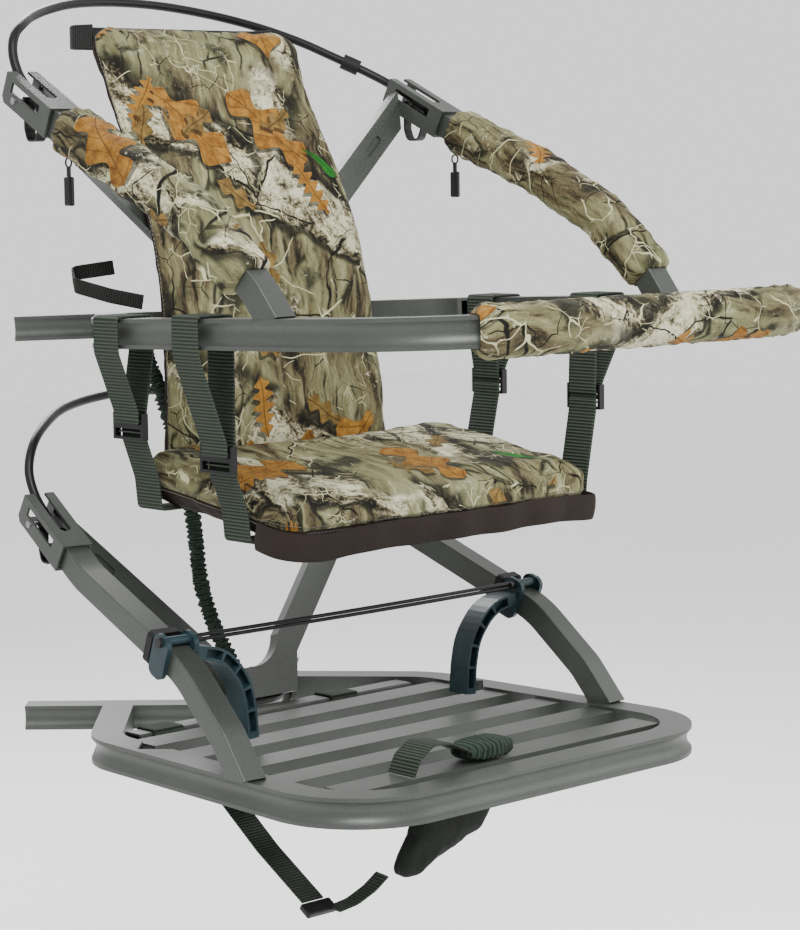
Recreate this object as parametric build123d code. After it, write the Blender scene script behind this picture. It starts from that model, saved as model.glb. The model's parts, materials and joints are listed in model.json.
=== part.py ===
from build123d import *
import os
from math import acos, atan2, cos, degrees, hypot, radians, sin, tan

# Climbing tree stand: a foot platform and a seat climber, each gripping the
# trunk between a V bar and a cable loop.  Millimetres.  +Z is up the trunk,
# -Y faces forward, and the origin is the throat of the platform's V bar,
# level with the top of its rails.  The two halves are tied by a tether.

# ---------------------------------------------------------------- sizes
FIT = 0.3                 # clearance between soft sleeves and their tubes
SLIP = 0.4                # clearance of a moving piece beside a fixed one

RAIL_W = 32.0             # rail extrusion across
RAIL_H = 28.5             # rail extrusion tall
RAIL_WALL = 3.0
COVE = 5.0                # depth of the cove along the rail's outer face
FLANGE = 3.8              # height of the flat above and below the cove
V_W = 28.0                # V bar across
V_H = 25.4                # V bar tall
ARM = 25.4                # square arm tube
ARM_WALL = 2.4

PLATFORM_FRONT = -438.0   # centre line of the platform's front rail
PLATFORM_HALF = 247.5     # half width at the front corner, centre line
PLATFORM_WAIST = 225.0    # half width where the rail turns in to the V
PLATFORM_WAIST_Y = -50.0
PLATFORM_CORNER_R = 82.0
PLATFORM_WAIST_R = 70.0

SEAT_FRONT = -576.0       # centre line of the front bar
SEAT_HALF = 272.0
SEAT_WAIST = 236.0
SEAT_WAIST_Y = -84.0
SEAT_CORNER_R = 130.0
SEAT_WAIST_R = 62.0

V_APEX_Y = -35.0          # where the V bar's two legs would meet, centre line
V_EAR_X = 182.6
V_EAR_Y = 143.0
V_THROAT_R = 50.0

SLAT_COUNT = 5
SLAT_PITCH = 72.0
SLAT_W = 37.0
SLAT_H = 13.0
SLAT_WALL = 2.4
SLAT_DROP = 3.0           # slat tops below the rail tops
FIRST_SLAT_Y = -92.0      # centre of the rearmost slat
CROSSBAR_Y = -46.0
CROSSBAR_W = 25.4
CROSSBAR_H = 19.0

RECEIVER_L = 82.0
RECEIVER_W = ARM + 8.6
RECEIVER_WALL = 2.6
RECEIVER_LAP = 14.0       # length of arm held inside the receiver
SLOT_W = 13.0             # cable slot in the receiver's top plate
LATCH_W = 11.0
LATCH_T = 2.0
LATCH_PIN_R = 2.0

BRACE_W = 31.0
BRACE_T = 12.7

CABLE_D = 9.5
STOP_D = 15.0
STOP_L = 20.0

CLIMB_Z = 424.0           # height of the seat climber's rail tops
CLIMB_TILT = 2.06         # it sits a little higher in front
CLIMB_PIVOT_Y = -244.0

WEB_W = 38.0              # webbing of the hanging straps
WEB_T = 2.2

os.makedirs("parts", exist_ok=True)
NODES = {}


def keep(name, shape, colour=None):
    """Files one named piece of the stand."""
    solids = shape.solids()
    body = solids[0] if len(solids) == 1 else Compound(children=list(solids))
    body.label = name
    NODES[name] = body


def tilt(shape):
    """Seats a piece of the climber, drawn level at rail-top zero, in its place."""
    return (Location((0, CLIMB_PIVOT_Y, CLIMB_Z)) * Rotation(-CLIMB_TILT, 0, 0)
            * Location((0, -CLIMB_PIVOT_Y, 0)) * shape)


def tilt_point(x, y, z):
    a = radians(-CLIMB_TILT)
    v = y - CLIMB_PIVOT_Y
    return (x, CLIMB_PIVOT_Y + v * cos(a) - z * sin(a),
            CLIMB_Z + v * sin(a) + z * cos(a))


def mirror_x(shape):
    return mirror(shape, about=Plane.YZ)


def frame_at(path, at=0.0):
    """Section plane square to a path, local X level and local Y up."""
    d = path % at
    p = path @ at
    side = d.cross(Vector(0, 0, 1))
    if side.length < 1e-6:
        side = Vector(1, 0, 0)
    return Plane(origin=p, x_dir=side.normalized(), z_dir=d)


def swept(path, section):
    """Sweeps a face along straight runs and tangent arcs."""
    plane = frame_at(path)
    out = sweep(plane * section, path=path)
    return out


def rail_section(outward=1):
    """Cove-sided hollow rail, outer face toward outward * local X."""
    w, h = RAIL_W / 2, RAIL_H / 2
    lip = h - FLANGE
    with BuildSketch() as s:
        with BuildLine():
            Polyline((w, -lip), (w, -h), (-w, -h), (-w, h), (-w + 4, h),
                     (-w + 5, h - 1.1), (-w + 7.5, h - 1.1), (-w + 8.5, h),
                     (w, h), (w, lip))
            ThreePointArc((w, lip), (w - COVE, 0), (w, -lip))
        make_face()
        with Locations((-2.3, 0)):
            Rectangle(RAIL_W - 2 * RAIL_WALL - 4.6, RAIL_H - 2 * RAIL_WALL,
                      mode=Mode.SUBTRACT)
    face = s.face()
    return face if outward > 0 else mirror(face, about=Plane.YZ)


def v_section(front=1):
    w, h = V_W / 2, V_H / 2
    lip = h - 3.2
    with BuildSketch() as s:
        with BuildLine():
            Polyline((w, -lip), (w, -h), (-w, -h), (-w, h), (w, h), (w, lip))
            ThreePointArc((w, lip), (w - 4.0, 0), (w, -lip))
        make_face()
        with Locations((-2.0, 0)):
            Rectangle(V_W - 2 * RAIL_WALL - 4.0, V_H - 2 * RAIL_WALL,
                      mode=Mode.SUBTRACT)
    face = s.face()
    return face if front > 0 else mirror(face, about=Plane.YZ)


def box_section(w, h, wall, r=1.5):
    with BuildSketch() as s:
        RectangleRounded(w, h, r)
        Rectangle(w - 2 * wall, h - 2 * wall, mode=Mode.SUBTRACT)
    return s.face()


def sleeve_section(w, h, r, hole_w, hole_h):
    with BuildSketch() as s:
        RectangleRounded(w, h, r)
        Rectangle(hole_w, hole_h, mode=Mode.SUBTRACT)
    return s.face()


def fillet_path(points, radii, plane=Plane.XY):
    """Straight runs joined by tangent arcs; radii is one value per corner."""
    pts = [plane.from_local_coords(Vector(*p)) if len(p) < 3 else Vector(*p)
           for p in points]
    return FilletPolyline(*pts, radius=radii)


def rounded(points, radius, step=9.0):
    """Corners of a flat route replaced by short chords of tangent arcs."""
    out = [points[0]]
    n = len(points)
    radii = radius if isinstance(radius, (list, tuple)) else [radius] * (n - 2)
    for i in range(1, n - 1):
        (ax, ay), (bx, by), (cx, cy) = points[i - 1], points[i], points[i + 1]
        l1, l2 = hypot(ax - bx, ay - by), hypot(cx - bx, cy - by)
        ux, uy = (ax - bx) / l1, (ay - by) / l1
        wx, wy = (cx - bx) / l2, (cy - by) / l2
        dot = max(-1.0, min(1.0, ux * wx + uy * wy))
        half = 0.5 * (radians(180) - acos(dot))
        if half < radians(0.5):
            out.append((bx, by))
            continue
        cut = min(radii[i - 1] * tan(half), 0.48 * min(l1, l2))
        r = cut / tan(half)
        sx, sy = bx + ux * cut, by + uy * cut
        ex, ey = bx + wx * cut, by + wy * cut
        mx, my = ux + wx, uy + wy
        ml = hypot(mx, my)
        ox = bx + mx / ml * r / cos(half)
        oy = by + my / ml * r / cos(half)
        a0, a1 = atan2(sy - oy, sx - ox), atan2(ey - oy, ex - ox)
        while a1 - a0 > radians(180):
            a1 -= radians(360)
        while a1 - a0 < -radians(180):
            a1 += radians(360)
        k = max(2, int(abs(degrees(a1 - a0)) / step) + 1)
        for j in range(k + 1):
            a = a0 + (a1 - a0) * j / k
            out.append((ox + r * cos(a), oy + r * sin(a)))
    out.append(points[-1])
    return out


def band(points, thick, radius=6.0, closed=False):
    """Outline of a strip of even thickness along a flat route."""
    pts = rounded(points, radius) if radius else list(points)
    left, right = [], []
    n = len(pts)
    for i in range(n):
        ax, ay = pts[max(i - 1, 0)]
        bx, by = pts[min(i + 1, n - 1)]
        dx, dy = bx - ax, by - ay
        l = hypot(dx, dy)
        nx, ny = -dy / l, dx / l
        x, y = pts[i]
        left.append((x + nx * thick / 2, y + ny * thick / 2))
        right.append((x - nx * thick / 2, y - ny * thick / 2))
    return left + right[::-1]


def prism(outline, plane, depth):
    """Flat outline pushed out by depth, half to each side of its plane."""
    with BuildSketch(plane.offset(-depth / 2)) as s:
        with BuildLine():
            Polyline(*outline, close=True)
        make_face()
    return extrude(s.sketch, depth)


def strip(points, width, thick, plane, radius=6.0):
    return prism(band(points, thick, radius), plane, width)


# ---------------------------------------------------------------- rails and V bars
def v_axis():
    """Direction of the right leg of the V, from throat to ear."""
    d = Vector(V_EAR_X, V_EAR_Y - V_APEX_Y, 0)
    return d.normalized()


def v_bar():
    path = FilletPolyline((-V_EAR_X, V_EAR_Y, -V_H / 2), (0, V_APEX_Y, -V_H / 2),
                          (V_EAR_X, V_EAR_Y, -V_H / 2), radius=V_THROAT_R)
    # seen along the path the front of the bar is on local +X
    return swept(path, v_section(1))


def v_front_cutter(side):
    """Everything behind the front face of one leg of the V bar."""
    d = v_axis()
    n = Vector(d.Y, -d.X, 0)                      # forward and outward
    p = Vector(0, V_APEX_Y, 0) + n * (V_W / 2)
    plane = Plane(origin=p, x_dir=(d.X, d.Y, 0), z_dir=(-n.X, -n.Y, 0))
    block = plane * (Pos(120, 0, 60) * Box(700, 200, 120))
    return block if side > 0 else mirror_x(block)


def u_rail(front_y, half, waist, waist_y, corner_r, waist_r, top=0.0):
    """U-shaped rail from the V bar round the front and back."""
    z = top - RAIL_H / 2
    d = v_axis()
    n = Vector(d.Y, -d.X, 0)
    # the tail of the rail heads for a point on the V leg
    foot = Vector(0, V_APEX_Y, 0) + d * 158.0
    tail = Vector(foot.X - n.X * 30, foot.Y - n.Y * 30, 0)
    path = FilletPolyline(
        (-tail.X, tail.Y, z), (-waist, waist_y, z), (-half, front_y, z),
        (half, front_y, z), (waist, waist_y, z), (tail.X, tail.Y, z),
        radius=[waist_r, corner_r, corner_r, waist_r])
    rail = swept(path, rail_section(1))
    rail = rail - v_front_cutter(1) - v_front_cutter(-1)
    return rail


def rail_outer(front_y, half, waist, waist_y, y):
    """Half width of the rail's centre line at a y between front and waist."""
    t = (y - front_y) / (waist_y - front_y)
    return half + (waist - half) * t


def rail_inner_box(front_y, half, waist, waist_y, y, gap=0.0):
    return rail_outer(front_y, half, waist, waist_y, y) - RAIL_W / 2 - gap


# ---------------------------------------------------------------- arms and receivers
class ArmSet:
    """An arm tube rising from a side rail, its receiver, and its latch."""

    def __init__(self, points, radii, lap):
        self.points = [Vector(*p) for p in points]   # centre line, right arm
        self.radii = radii
        a, b = self.points[-2], self.points[-1]
        self.axis = (b - a).normalized()             # the receiver's direction
        self.start = b - self.axis * lap             # where the receiver begins
        self.across = Vector(self.axis.Y, -self.axis.X, 0).normalized()

    def path(self):
        return FilletPolyline(*self.points, radius=self.radii)

    def tube(self):
        path = self.path()
        plane = frame_at(path)
        tube = sweep(plane * box_section(ARM, ARM, ARM_WALL), path=path)
        # trimmed level on top of the rail
        foot = self.points[0]
        return tube - Pos(foot.X, foot.Y, -50) * Box(200, 200, 100)

    def receiver_plane(self):
        """Inward on local X, above the axis on local Y, along it on local Z."""
        return Plane(origin=self.start, x_dir=-self.across, z_dir=self.axis)

    def place(self, s, t, x=0.0):
        return self.receiver_plane().from_local_coords(Vector(x, t, s))


PLATFORM_ARM = ArmSet(
    points=[(247.9, -299.0, -6.0), (245.1, -266.0, 34.6), (239.6, -202.6, 88.6),
            (233.5, -132.5, 116.5), (224.4, -26.5, 159.2), (221.0, 13.4, 184.7)],
    radii=[60, 110, 120, 120], lap=RECEIVER_LAP)
SEAT_ARM = ArmSet(
    points=[(259.3, -364.0, -6.0), (260.8, -341.0, 25.0), (265.0, -277.0, 83.0),
            (267.0, -189.0, 131.0), (260.2, -60.6, 187.5), (258.9, -43.0, 197.0)],
    radii=[50, 150, 220, 20], lap=RECEIVER_LAP)


def receiver(arm):
    """Open cable receiver: forked top plate, windowed sides, slotted floor."""
    pl = arm.receiver_plane()
    h = ARM + 2 * RECEIVER_WALL + 0.2
    w = RECEIVER_W
    s0 = -4.0
    body = extrude(pl.offset(s0) * Rectangle(w, h), RECEIVER_L + 4)
    bore = extrude(pl.offset(s0) * Rectangle(w - 2 * RECEIVER_WALL, ARM + 0.2),
                   RECEIVER_L + 4)
    body = body - bore
    # local frame of the receiver: X across, Y up, Z along
    def cut(cx, cy, cz, dx, dy, dz):
        return pl * (Pos(cx, cy, cz) * Box(dx, dy, dz))
    top_y = h / 2
    # slot in the top plate, rounded at its closed end, open at the mouth
    slot_start = 26.0
    body = body - cut(0, top_y, (slot_start + RECEIVER_L + 10) / 2, SLOT_W, 12,
                      RECEIVER_L + 10 - slot_start)
    body = body - pl * (Pos(0, top_y, slot_start) * Rotation(90, 0, 0)
                        * Cylinder(SLOT_W / 2, 12))
    # long windows through both sides
    body = body - cut(0, 4.4, 42.0, w + 10, 10.0, 54.0)
    # slot in the floor for the latch
    body = body - cut(0, -top_y, 54.0, LATCH_W + 4, 12, 36.0)
    # chamfered lower corners of the mouth
    body = body - pl * (Pos(0, -top_y - 3, RECEIVER_L + 3) * Rotation(45, 0, 0)
                        * Box(w + 10, 16, 16))
    # hole for the latch pin
    py, ps = LATCH_PIVOT
    body = body - pl * (Pos(0, py, ps) * Rotation(0, 90, 0)
                        * Cylinder(LATCH_PIN_R + 0.05, w + 20))
    return body


LATCH_PIVOT = (-6.0, 60.0)      # above the axis, along the receiver


def latch_pin(arm):
    pl = arm.receiver_plane()
    py, ps = LATCH_PIVOT
    shank = pl * (Pos(-0.2, py, ps) * Rotation(0, 90, 0)
                  * Cylinder(LATCH_PIN_R, RECEIVER_W - 0.4))
    head = pl * (Pos(-RECEIVER_W / 2 - 0.8, py, ps)
                 * Rotation(0, 90, 0) * Cylinder(3.6, 1.6))
    return shank + head


def latch(arm, drop=39.0, reach=24.0):
    """Bent-strip latch: an eye on the pin, a long leg down, a looped end."""
    hub = arm.place(LATCH_PIVOT[1], LATCH_PIVOT[0])
    eye_r = LATCH_PIN_R + 0.1
    along = Vector(-arm.across.Y, arm.across.X, 0)       # level, toward the trunk
    plane = Plane(origin=hub, x_dir=along, z_dir=arm.across)
    run = hypot(arm.axis.X, arm.axis.Y)
    floor = (ARM / 2 + RECEIVER_WALL + LATCH_PIVOT[0]) / run \
        + reach * arm.axis.Z / run
    leg = strip([(0, -eye_r - 0.6), (1.0, -drop + 12), (-3, -drop),
                 (-reach + 6, -drop - 0.5), (-reach, -floor - 3.0)],
                LATCH_W, LATCH_T, plane, 7.0)
    eye = plane * Cylinder(eye_r + 2.0, LATCH_W)
    bore = plane * Cylinder(eye_r, LATCH_W + 4)
    return leg + eye - bore


# ---------------------------------------------------------------- braces
def brace(end_x, end_z, lean, arm):
    """One leg of the yoke over the V bar's throat, flared at its foot.

    The leg is drawn upright, leaned back about its foot, and cut off against
    the inner side of the receiver.
    """
    y_mid = V_APEX_Y + V_THROAT_R * (1 / cos(radians(45)) - 1)
    x0, z0 = 8.0, 0.0
    ang = atan2(end_z - z0, end_x - x0)
    nx, nz = -sin(ang), cos(ang)
    h = BRACE_W / 2
    up = lambda x: z0 + nz * h + (x - (x0 + nx * h)) * tan(ang)
    low = lambda x: z0 - nz * h + (x - (x0 - nx * h)) * tan(ang)
    xa = 46.0
    xb = 68.0
    plane = Plane(origin=(0, y_mid + BRACE_T / 2, 0), x_dir=(1, 0, 0),
                  z_dir=(0, -1, 0))
    with BuildSketch(plane) as s:
        with BuildLine():
            Line((0, 0), (0, 34))
            ThreePointArc((0, 34), (24, 37.5), (xa, up(xa)))
            Polyline((xa, up(xa)), (end_x, up(end_x)), (end_x, low(end_x)),
                     (xb, low(xb)))
            ThreePointArc((xb, low(xb)), (59.5, 12.0), (56, 0))
            Line((56, 0), (0, 0))
        make_face()
    plate = extrude(s.sketch, BRACE_T)
    # shallow round-ended recess in the front face near the top
    px, pz = end_x - 52, (up(end_x - 52) + low(end_x - 52)) / 2
    rec = (Pos(px, y_mid - BRACE_T / 2, pz) * Rotation(90, 0, 0)
           * Rotation(0, 0, degrees(ang)))
    plate = plate - rec * extrude(SlotOverall(30, 9), 2.0, both=True)
    hinge = (0, y_mid, 0)
    plate = Pos(*hinge) * Rotation(-lean, 0, 0) * Pos(0, -y_mid, 0) * plate
    pl = arm.receiver_plane()
    outer = pl * (Pos(RECEIVER_W / 2 - 200, 0, 40) * Box(400, 400, 600))
    level = Pos(0, y_mid, -20) * Box(400, 200, 40)
    middle = Pos(-100, y_mid, 100) * Box(200, 400, 600)
    return plate - outer - level - middle


# ---------------------------------------------------------------- foot platform
platform_rail = u_rail(PLATFORM_FRONT, PLATFORM_HALF, PLATFORM_WAIST,
                       PLATFORM_WAIST_Y, PLATFORM_CORNER_R, PLATFORM_WAIST_R)
keep("platform_rail", platform_rail)
platform_v = v_bar()
keep("platform_v_bar", platform_v)


def slat(y, half):
    w, h, t = SLAT_W, SLAT_H, SLAT_WALL
    body = Box(2 * half, w, h) - Pos(0, 0, -t) * Box(2 * half + 2, w - 2 * t, h)
    rib = Pos(0, 0, -1) * Box(2 * half, 2.0, h - 2)
    body = body + rib
    return Pos(0, y, -SLAT_DROP - h / 2) * body


slats = []
for i in range(SLAT_COUNT):
    y = FIRST_SLAT_Y - i * SLAT_PITCH
    half = min(rail_inner_box(PLATFORM_FRONT, PLATFORM_HALF, PLATFORM_WAIST,
                              PLATFORM_WAIST_Y, y + sgn * SLAT_W / 2)
               for sgn in (-1, 1))
    if y - SLAT_W / 2 < PLATFORM_FRONT + PLATFORM_CORNER_R:
        # the front slat ends on the inside of the corner bend
        r = PLATFORM_CORNER_R - RAIL_W / 2
        cy = PLATFORM_FRONT + PLATFORM_CORNER_R
        cx = rail_outer(PLATFORM_FRONT, PLATFORM_HALF, PLATFORM_WAIST,
                        PLATFORM_WAIST_Y, cy) - PLATFORM_CORNER_R
        dy = cy - (y - SLAT_W / 2)
        half = min(half, cx + (r * r - dy * dy) ** 0.5 - 0.5)
    slats.append(slat(y, half - (0.5 if i == 0 else 0.0)))
keep("platform_slats", Compound(children=slats))

cross_half = rail_inner_box(PLATFORM_FRONT, PLATFORM_HALF, PLATFORM_WAIST,
                            PLATFORM_WAIST_Y, CROSSBAR_Y + CROSSBAR_W / 2) - 20.5
crossbar = extrude(Plane(origin=(-cross_half, CROSSBAR_Y, -SLAT_DROP - CROSSBAR_H / 2),
                         x_dir=(0, 1, 0), z_dir=(1, 0, 0))
                   * box_section(CROSSBAR_W, CROSSBAR_H, 2.4, 2.0), 2 * cross_half)
keep("platform_crossbar", crossbar)

pins = []
for side, tag in ((-1, "left"), (1, "right")):
    t = PLATFORM_ARM.tube()
    r = receiver(PLATFORM_ARM)
    b = brace(212.0, 220.0, 18.5, PLATFORM_ARM)
    l = latch(PLATFORM_ARM)
    p = latch_pin(PLATFORM_ARM)
    if side < 0:
        t, r, b, l, p = (mirror_x(s) for s in (t, r, b, l, p))
    keep(f"platform_arm_{tag}", t)
    keep(f"platform_receiver_{tag}", r)
    keep(f"platform_brace_{tag}", b)
    keep(f"platform_latch_{tag}", l)
    pins.append(p)
keep("platform_latch_pins", Compound(children=pins))

# ---------------------------------------------------------------- seat climber frame
keep("climber_rail", tilt(u_rail(SEAT_FRONT, SEAT_HALF, SEAT_WAIST, SEAT_WAIST_Y,
                                 SEAT_CORNER_R, SEAT_WAIST_R)))
keep("climber_v_bar", tilt(v_bar()))
pins = []
for side, tag in ((-1, "left"), (1, "right")):
    t = SEAT_ARM.tube()
    r = receiver(SEAT_ARM)
    b = brace(246.0, 214.0, 4.5, SEAT_ARM)
    l = latch(SEAT_ARM)
    p = latch_pin(SEAT_ARM)
    if side < 0:
        t, r, b, l, p = (mirror_x(s) for s in (t, r, b, l, p))
    keep(f"climber_arm_{tag}", tilt(t))
    keep(f"climber_receiver_{tag}", tilt(r))
    keep(f"climber_brace_{tag}", tilt(b))
    keep(f"climber_latch_{tag}", tilt(l))
    pins.append(tilt(p))
keep("climber_latch_pins", Compound(children=pins))

# ---------------------------------------------------------------- stirrups
ARM_OUT = ARM / 2 + SLIP
STIRRUP_T = 5.0            # ear plates of the stirrup saddle
STIRRUP_D = 26.0           # depth of the hook, fore and aft
STIRRUP_RIM = 13.5         # radial thickness of the hook
PIN_R = 2.6
HUB_R = 4.6                # barrel that joins the two ears over the arm
PIN_RISE = ARM / 2 + SLIP + HUB_R


def arm_station(arm, i, share):
    """Plane on the arm's centre line, inward on X, up on Y, along on Z."""
    a, b = arm.points[i], arm.points[i + 1]
    axis = (b - a).normalized()
    return Plane(origin=a + (b - a) * share,
                 x_dir=Vector(-axis.Y, axis.X, 0).normalized(), z_dir=axis)


saddle_at = arm_station(PLATFORM_ARM, 2, 0.36)


def stirrup(pl):
    """Saddle ears either side of the arm and the ribbed hook on the inner one."""
    out = None
    for sgn in (-1, 1):
        x = sgn * (ARM_OUT + STIRRUP_T / 2)
        ear = extrude(Plane.YZ.offset(x - STIRRUP_T / 2)
                      * (Pos(2.0, 0) * RectangleRounded(44.0, 25.0, 9.0)), STIRRUP_T)
        ear = pl * ear
        out = ear if out is None else out + ear
    out = out + pl * (Pos(0, PIN_RISE, 0) * Rotation(0, 90, 0)
                      * Cylinder(HUB_R, 2 * ARM_OUT + 2))
    # hook: a quarter hoop dropping inward from the inner ear to the foot boards
    c = pl.origin
    xi = c.X - ARM_OUT - STIRRUP_T + 0.6
    y = c.Y
    top = c.Z + 2.5
    route = [(xi, top), (xi - 36.0, top - 6.0), (xi - 62.0, top - 36.0),
             (xi - 68.0, top - 66.0), (xi - 70.0, top - 94.0)]
    face = Plane(origin=(0, y, 0), x_dir=(1, 0, 0), z_dir=(0, -1, 0))
    hook = strip(route, STIRRUP_D, STIRRUP_RIM, face, [60, 60, 80])
    # open cells between ribs, front side
    pts = rounded(route, [60, 60, 80], 6.0)
    cum = [0.0]
    for p, q in zip(pts, pts[1:]):
        cum.append(cum[-1] + hypot(q[0] - p[0], q[1] - p[1]))
    cells = 5
    margin, rib = 12.0, 3.0
    length = (cum[-1] - margin - 5.0) / cells
    front = Plane(origin=(0, y - STIRRUP_D / 2 + 4.0, 0), x_dir=(1, 0, 0),
                  z_dir=(0, -1, 0))
    for k in range(cells):
        s0 = margin + k * length + rib / 2
        s1 = margin + (k + 1) * length - rib / 2
        seg = [along_route(pts, cum, s0 + (s1 - s0) * j / 4) for j in range(5)]
        hook = hook - prism(band(seg, STIRRUP_RIM - 5.0, 0.0), front, 8.4)
    hook = hook - pl * (Pos(0, 0, 0) * Box(2 * ARM_OUT, 80, 120))
    out = out + hook
    hole = pl * (Pos(0, PIN_RISE, 0) * Rotation(0, 90, 0)
                 * Cylinder(PIN_R + 0.05, 80))
    return out - hole


def along_route(pts, cum, s):
    for i in range(len(cum) - 1):
        if s <= cum[i + 1]:
            t = (s - cum[i]) / (cum[i + 1] - cum[i])
            return (pts[i][0] + (pts[i + 1][0] - pts[i][0]) * t,
                    pts[i][1] + (pts[i + 1][1] - pts[i][1]) * t)
    return pts[-1]


def stirrup_pin(pl):
    half = ARM_OUT + STIRRUP_T
    pin = pl * (Pos(0, PIN_RISE, 0) * Rotation(0, 90, 0)
                * Cylinder(PIN_R, 2 * half + 4.0))
    head = pl * (Pos(-half - 2.6, PIN_RISE, 0) * Rotation(0, 90, 0)
                 * Cylinder(5.0, 3.2))
    eye = pl * (Pos(half + 4.2, PIN_RISE, 0) * Rotation(0, 90, 0)
                * Cylinder(4.2, 6.4))
    return pin + head + eye


def rubber_band(pl):
    """Square rubber strap round the arm just behind the saddle."""
    a = ARM + 2 * 0.15
    ring = extrude(pl.offset(16.5) * RectangleRounded(a + 8, a + 8, 5.5), 9.0)
    return ring - extrude(pl.offset(10.0) * Rectangle(a, a), 25.0)


pins = []
for side, tag in ((-1, "left"), (1, "right")):
    h, p, r = stirrup(saddle_at), stirrup_pin(saddle_at), rubber_band(saddle_at)
    if side < 0:
        h, p, r = mirror_x(h), mirror_x(p), mirror_x(r)
    keep(f"stirrup_{tag}", h)
    keep(f"stirrup_strap_{tag}", r)
    pins.append(p)
keep("stirrup_pins", Compound(children=pins))

# elastic cords stretched between the two stirrups
eye_at = saddle_at.from_local_coords(Vector(ARM_OUT + STIRRUP_T + 4.2, PIN_RISE, 0))
BUNGEE_D = 4.0
cords = [Pos(0, eye_at.Y, eye_at.Z + dz) * Rotation(0, 90, 0)
         * Cylinder(BUNGEE_D / 2, 2 * eye_at.X) for dz in (-2.15, 2.15)]
keep("stirrup_bungee", Compound(children=cords))

# ---------------------------------------------------------------- platform straps
TOE_Y = FIRST_SLAT_Y - (SLAT_COUNT - 1) * SLAT_PITCH - 1.0
TOE_W = 36.0
toe_plane = Plane(origin=(0, TOE_Y, 0), x_dir=(1, 0, 0), z_dir=(0, -1, 0))
toe = strip([(-132, -1.6), (-124, 14), (-106, 25), (-82, 22), (-63.0, 11)],
            TOE_W, 2.8, toe_plane, 16.0)
keep("toe_strap", toe)
gather = Pos(-26.0, TOE_Y, -SLAT_DROP + 10.8) * Box(70.0, TOE_W + 8, 21.0)
gather = fillet(gather.edges(), 6.0)
keep("toe_strap_elastic", gather)

wrap_h = CROSSBAR_H + 0.5
wraps = []
for x in (-152.0, 88.0):
    ring = extrude(Plane(origin=(x - WEB_W / 2, CROSSBAR_Y, -SLAT_DROP - CROSSBAR_H / 2),
                         x_dir=(0, 1, 0), z_dir=(1, 0, 0))
                   * RectangleRounded(CROSSBAR_W + 0.5 + 2 * WEB_T + 1,
                                      wrap_h + 2 * WEB_T + 1, 3.0), WEB_W)
    bore = extrude(Plane(origin=(x - WEB_W, CROSSBAR_Y, -SLAT_DROP - CROSSBAR_H / 2),
                         x_dir=(0, 1, 0), z_dir=(1, 0, 0))
                   * Rectangle(CROSSBAR_W + 0.5, wrap_h), 2 * WEB_W)
    wraps.append(ring - bore)
keep("crossbar_webbing", Compound(children=wraps))

# carrying harness slung below the boards
SLING_X = -184.0
sling_plane = Plane(origin=(SLING_X, 0, 0), x_dir=(0, 1, 0), z_dir=(1, 0, 0))
keep("carry_webbing_rear", strip([(-172.0, -RAIL_H - 1.6), (-184.0, -40.0),
                                  (-248.0, -86.0), (-312.0, -124.0)],
                                 WEB_W * 0.72, WEB_T, sling_plane, 20.0))
keep("carry_slider", fillet(
    (Pos(SLING_X, -320.0, -130.0) * Rotation(32, 0, 0)
     * Box(36.0, 15.0, 7.0)).edges(), 2.0))
to_pad = Vector(58.0, -11.0, 0).normalized()
front_run = Plane(origin=(SLING_X + 10, -331.0, -131.0), x_dir=to_pad,
                  z_dir=(to_pad.Y, -to_pad.X, 0))
keep("carry_webbing_front", strip([(0, 0), (20, 4), (40, 14), (54, 25)],
                                  22.0, WEB_T, front_run, 30.0))
pad_plane = Plane(origin=(0, -344.0, 0), x_dir=(1, 0, 0), z_dir=(0, -1, 0))
PAD_TOP = -RAIL_H + 4.0
pad = prism([(-88, PAD_TOP - 8), (34, PAD_TOP - 8), (38, -52), (24, -64), (4, -86),
             (-16, -92), (-34, -99), (-58, -107), (-78, -117), (-100, -118),
             (-112, -108), (-106, -92), (-92, -74), (-84, -58)], pad_plane, 26.0)
pad = fillet(pad.edges().filter_by(Axis.Y), 4.0)
keep("carry_pad", fillet(pad.faces().sort_by(Axis.Y)[0].edges(), 5.0))

# ---------------------------------------------------------------- seat and back
SEAT_W = 416.0
SEAT_D = 236.0
SEAT_T = 50.0
SEAT_SLOPE = 8.6
SEAT_BACK_Y = -88.0        # top rear edge of the seat, its fold line
SEAT_BACK_Z = 291.0
BACK_T = 30.0

seat_loc = Location((0, SEAT_BACK_Y, SEAT_BACK_Z)) * Rotation(SEAT_SLOPE, 0, 0)
seat = Pos(0, -SEAT_D / 2, -SEAT_T / 2) * Box(SEAT_W, SEAT_D, SEAT_T)
seat = fillet(seat.edges().filter_by(Axis.Z), 24.0)
seat = fillet(seat.faces().sort_by(Axis.Z)[-1].edges(), 9.0)
seat = fillet(seat.faces().sort_by(Axis.Z)[0].edges(), 5.0)
keep("seat_cushion", seat_loc * seat)

back_mid = [(-62.0, 252.0), (-60.0, 330.0), (-50.0, 425.0), (-32.0, 500.0),
            (-5.0, 558.0), (37.0, 632.0), (66.0, 697.0)]
side_plane = Plane(origin=(0, 0, 0), x_dir=(0, 1, 0), z_dir=(1, 0, 0))
back = strip(back_mid, 400.0, BACK_T, side_plane, 120.0)
half_wide = [(153, 200), (150, 330), (144, 420), (142, 520), (140, 560),
             (137, 640), (139, 760)]
outline = [(-x, z) for x, z in half_wide] + [(x, z) for x, z in half_wide[::-1]]
front_plane = Plane(origin=(0, 0, 0), x_dir=(1, 0, 0), z_dir=(0, -1, 0))
back = back & prism(outline, front_plane, 600.0)
# the foam is pressed flat where it rests on the climber's yoke
rest = prism([(-23.0, 400.0), (60.0, 400.0), (60.0, 562.0), (-5.4, 562.0)],
             side_plane, 420.0)
back = back - rest
keep("back_cushion", back)

# ---------------------------------------------------------------- hanging straps
BUCKLE_W = 46.0
BUCKLE_T = 7.0


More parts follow.
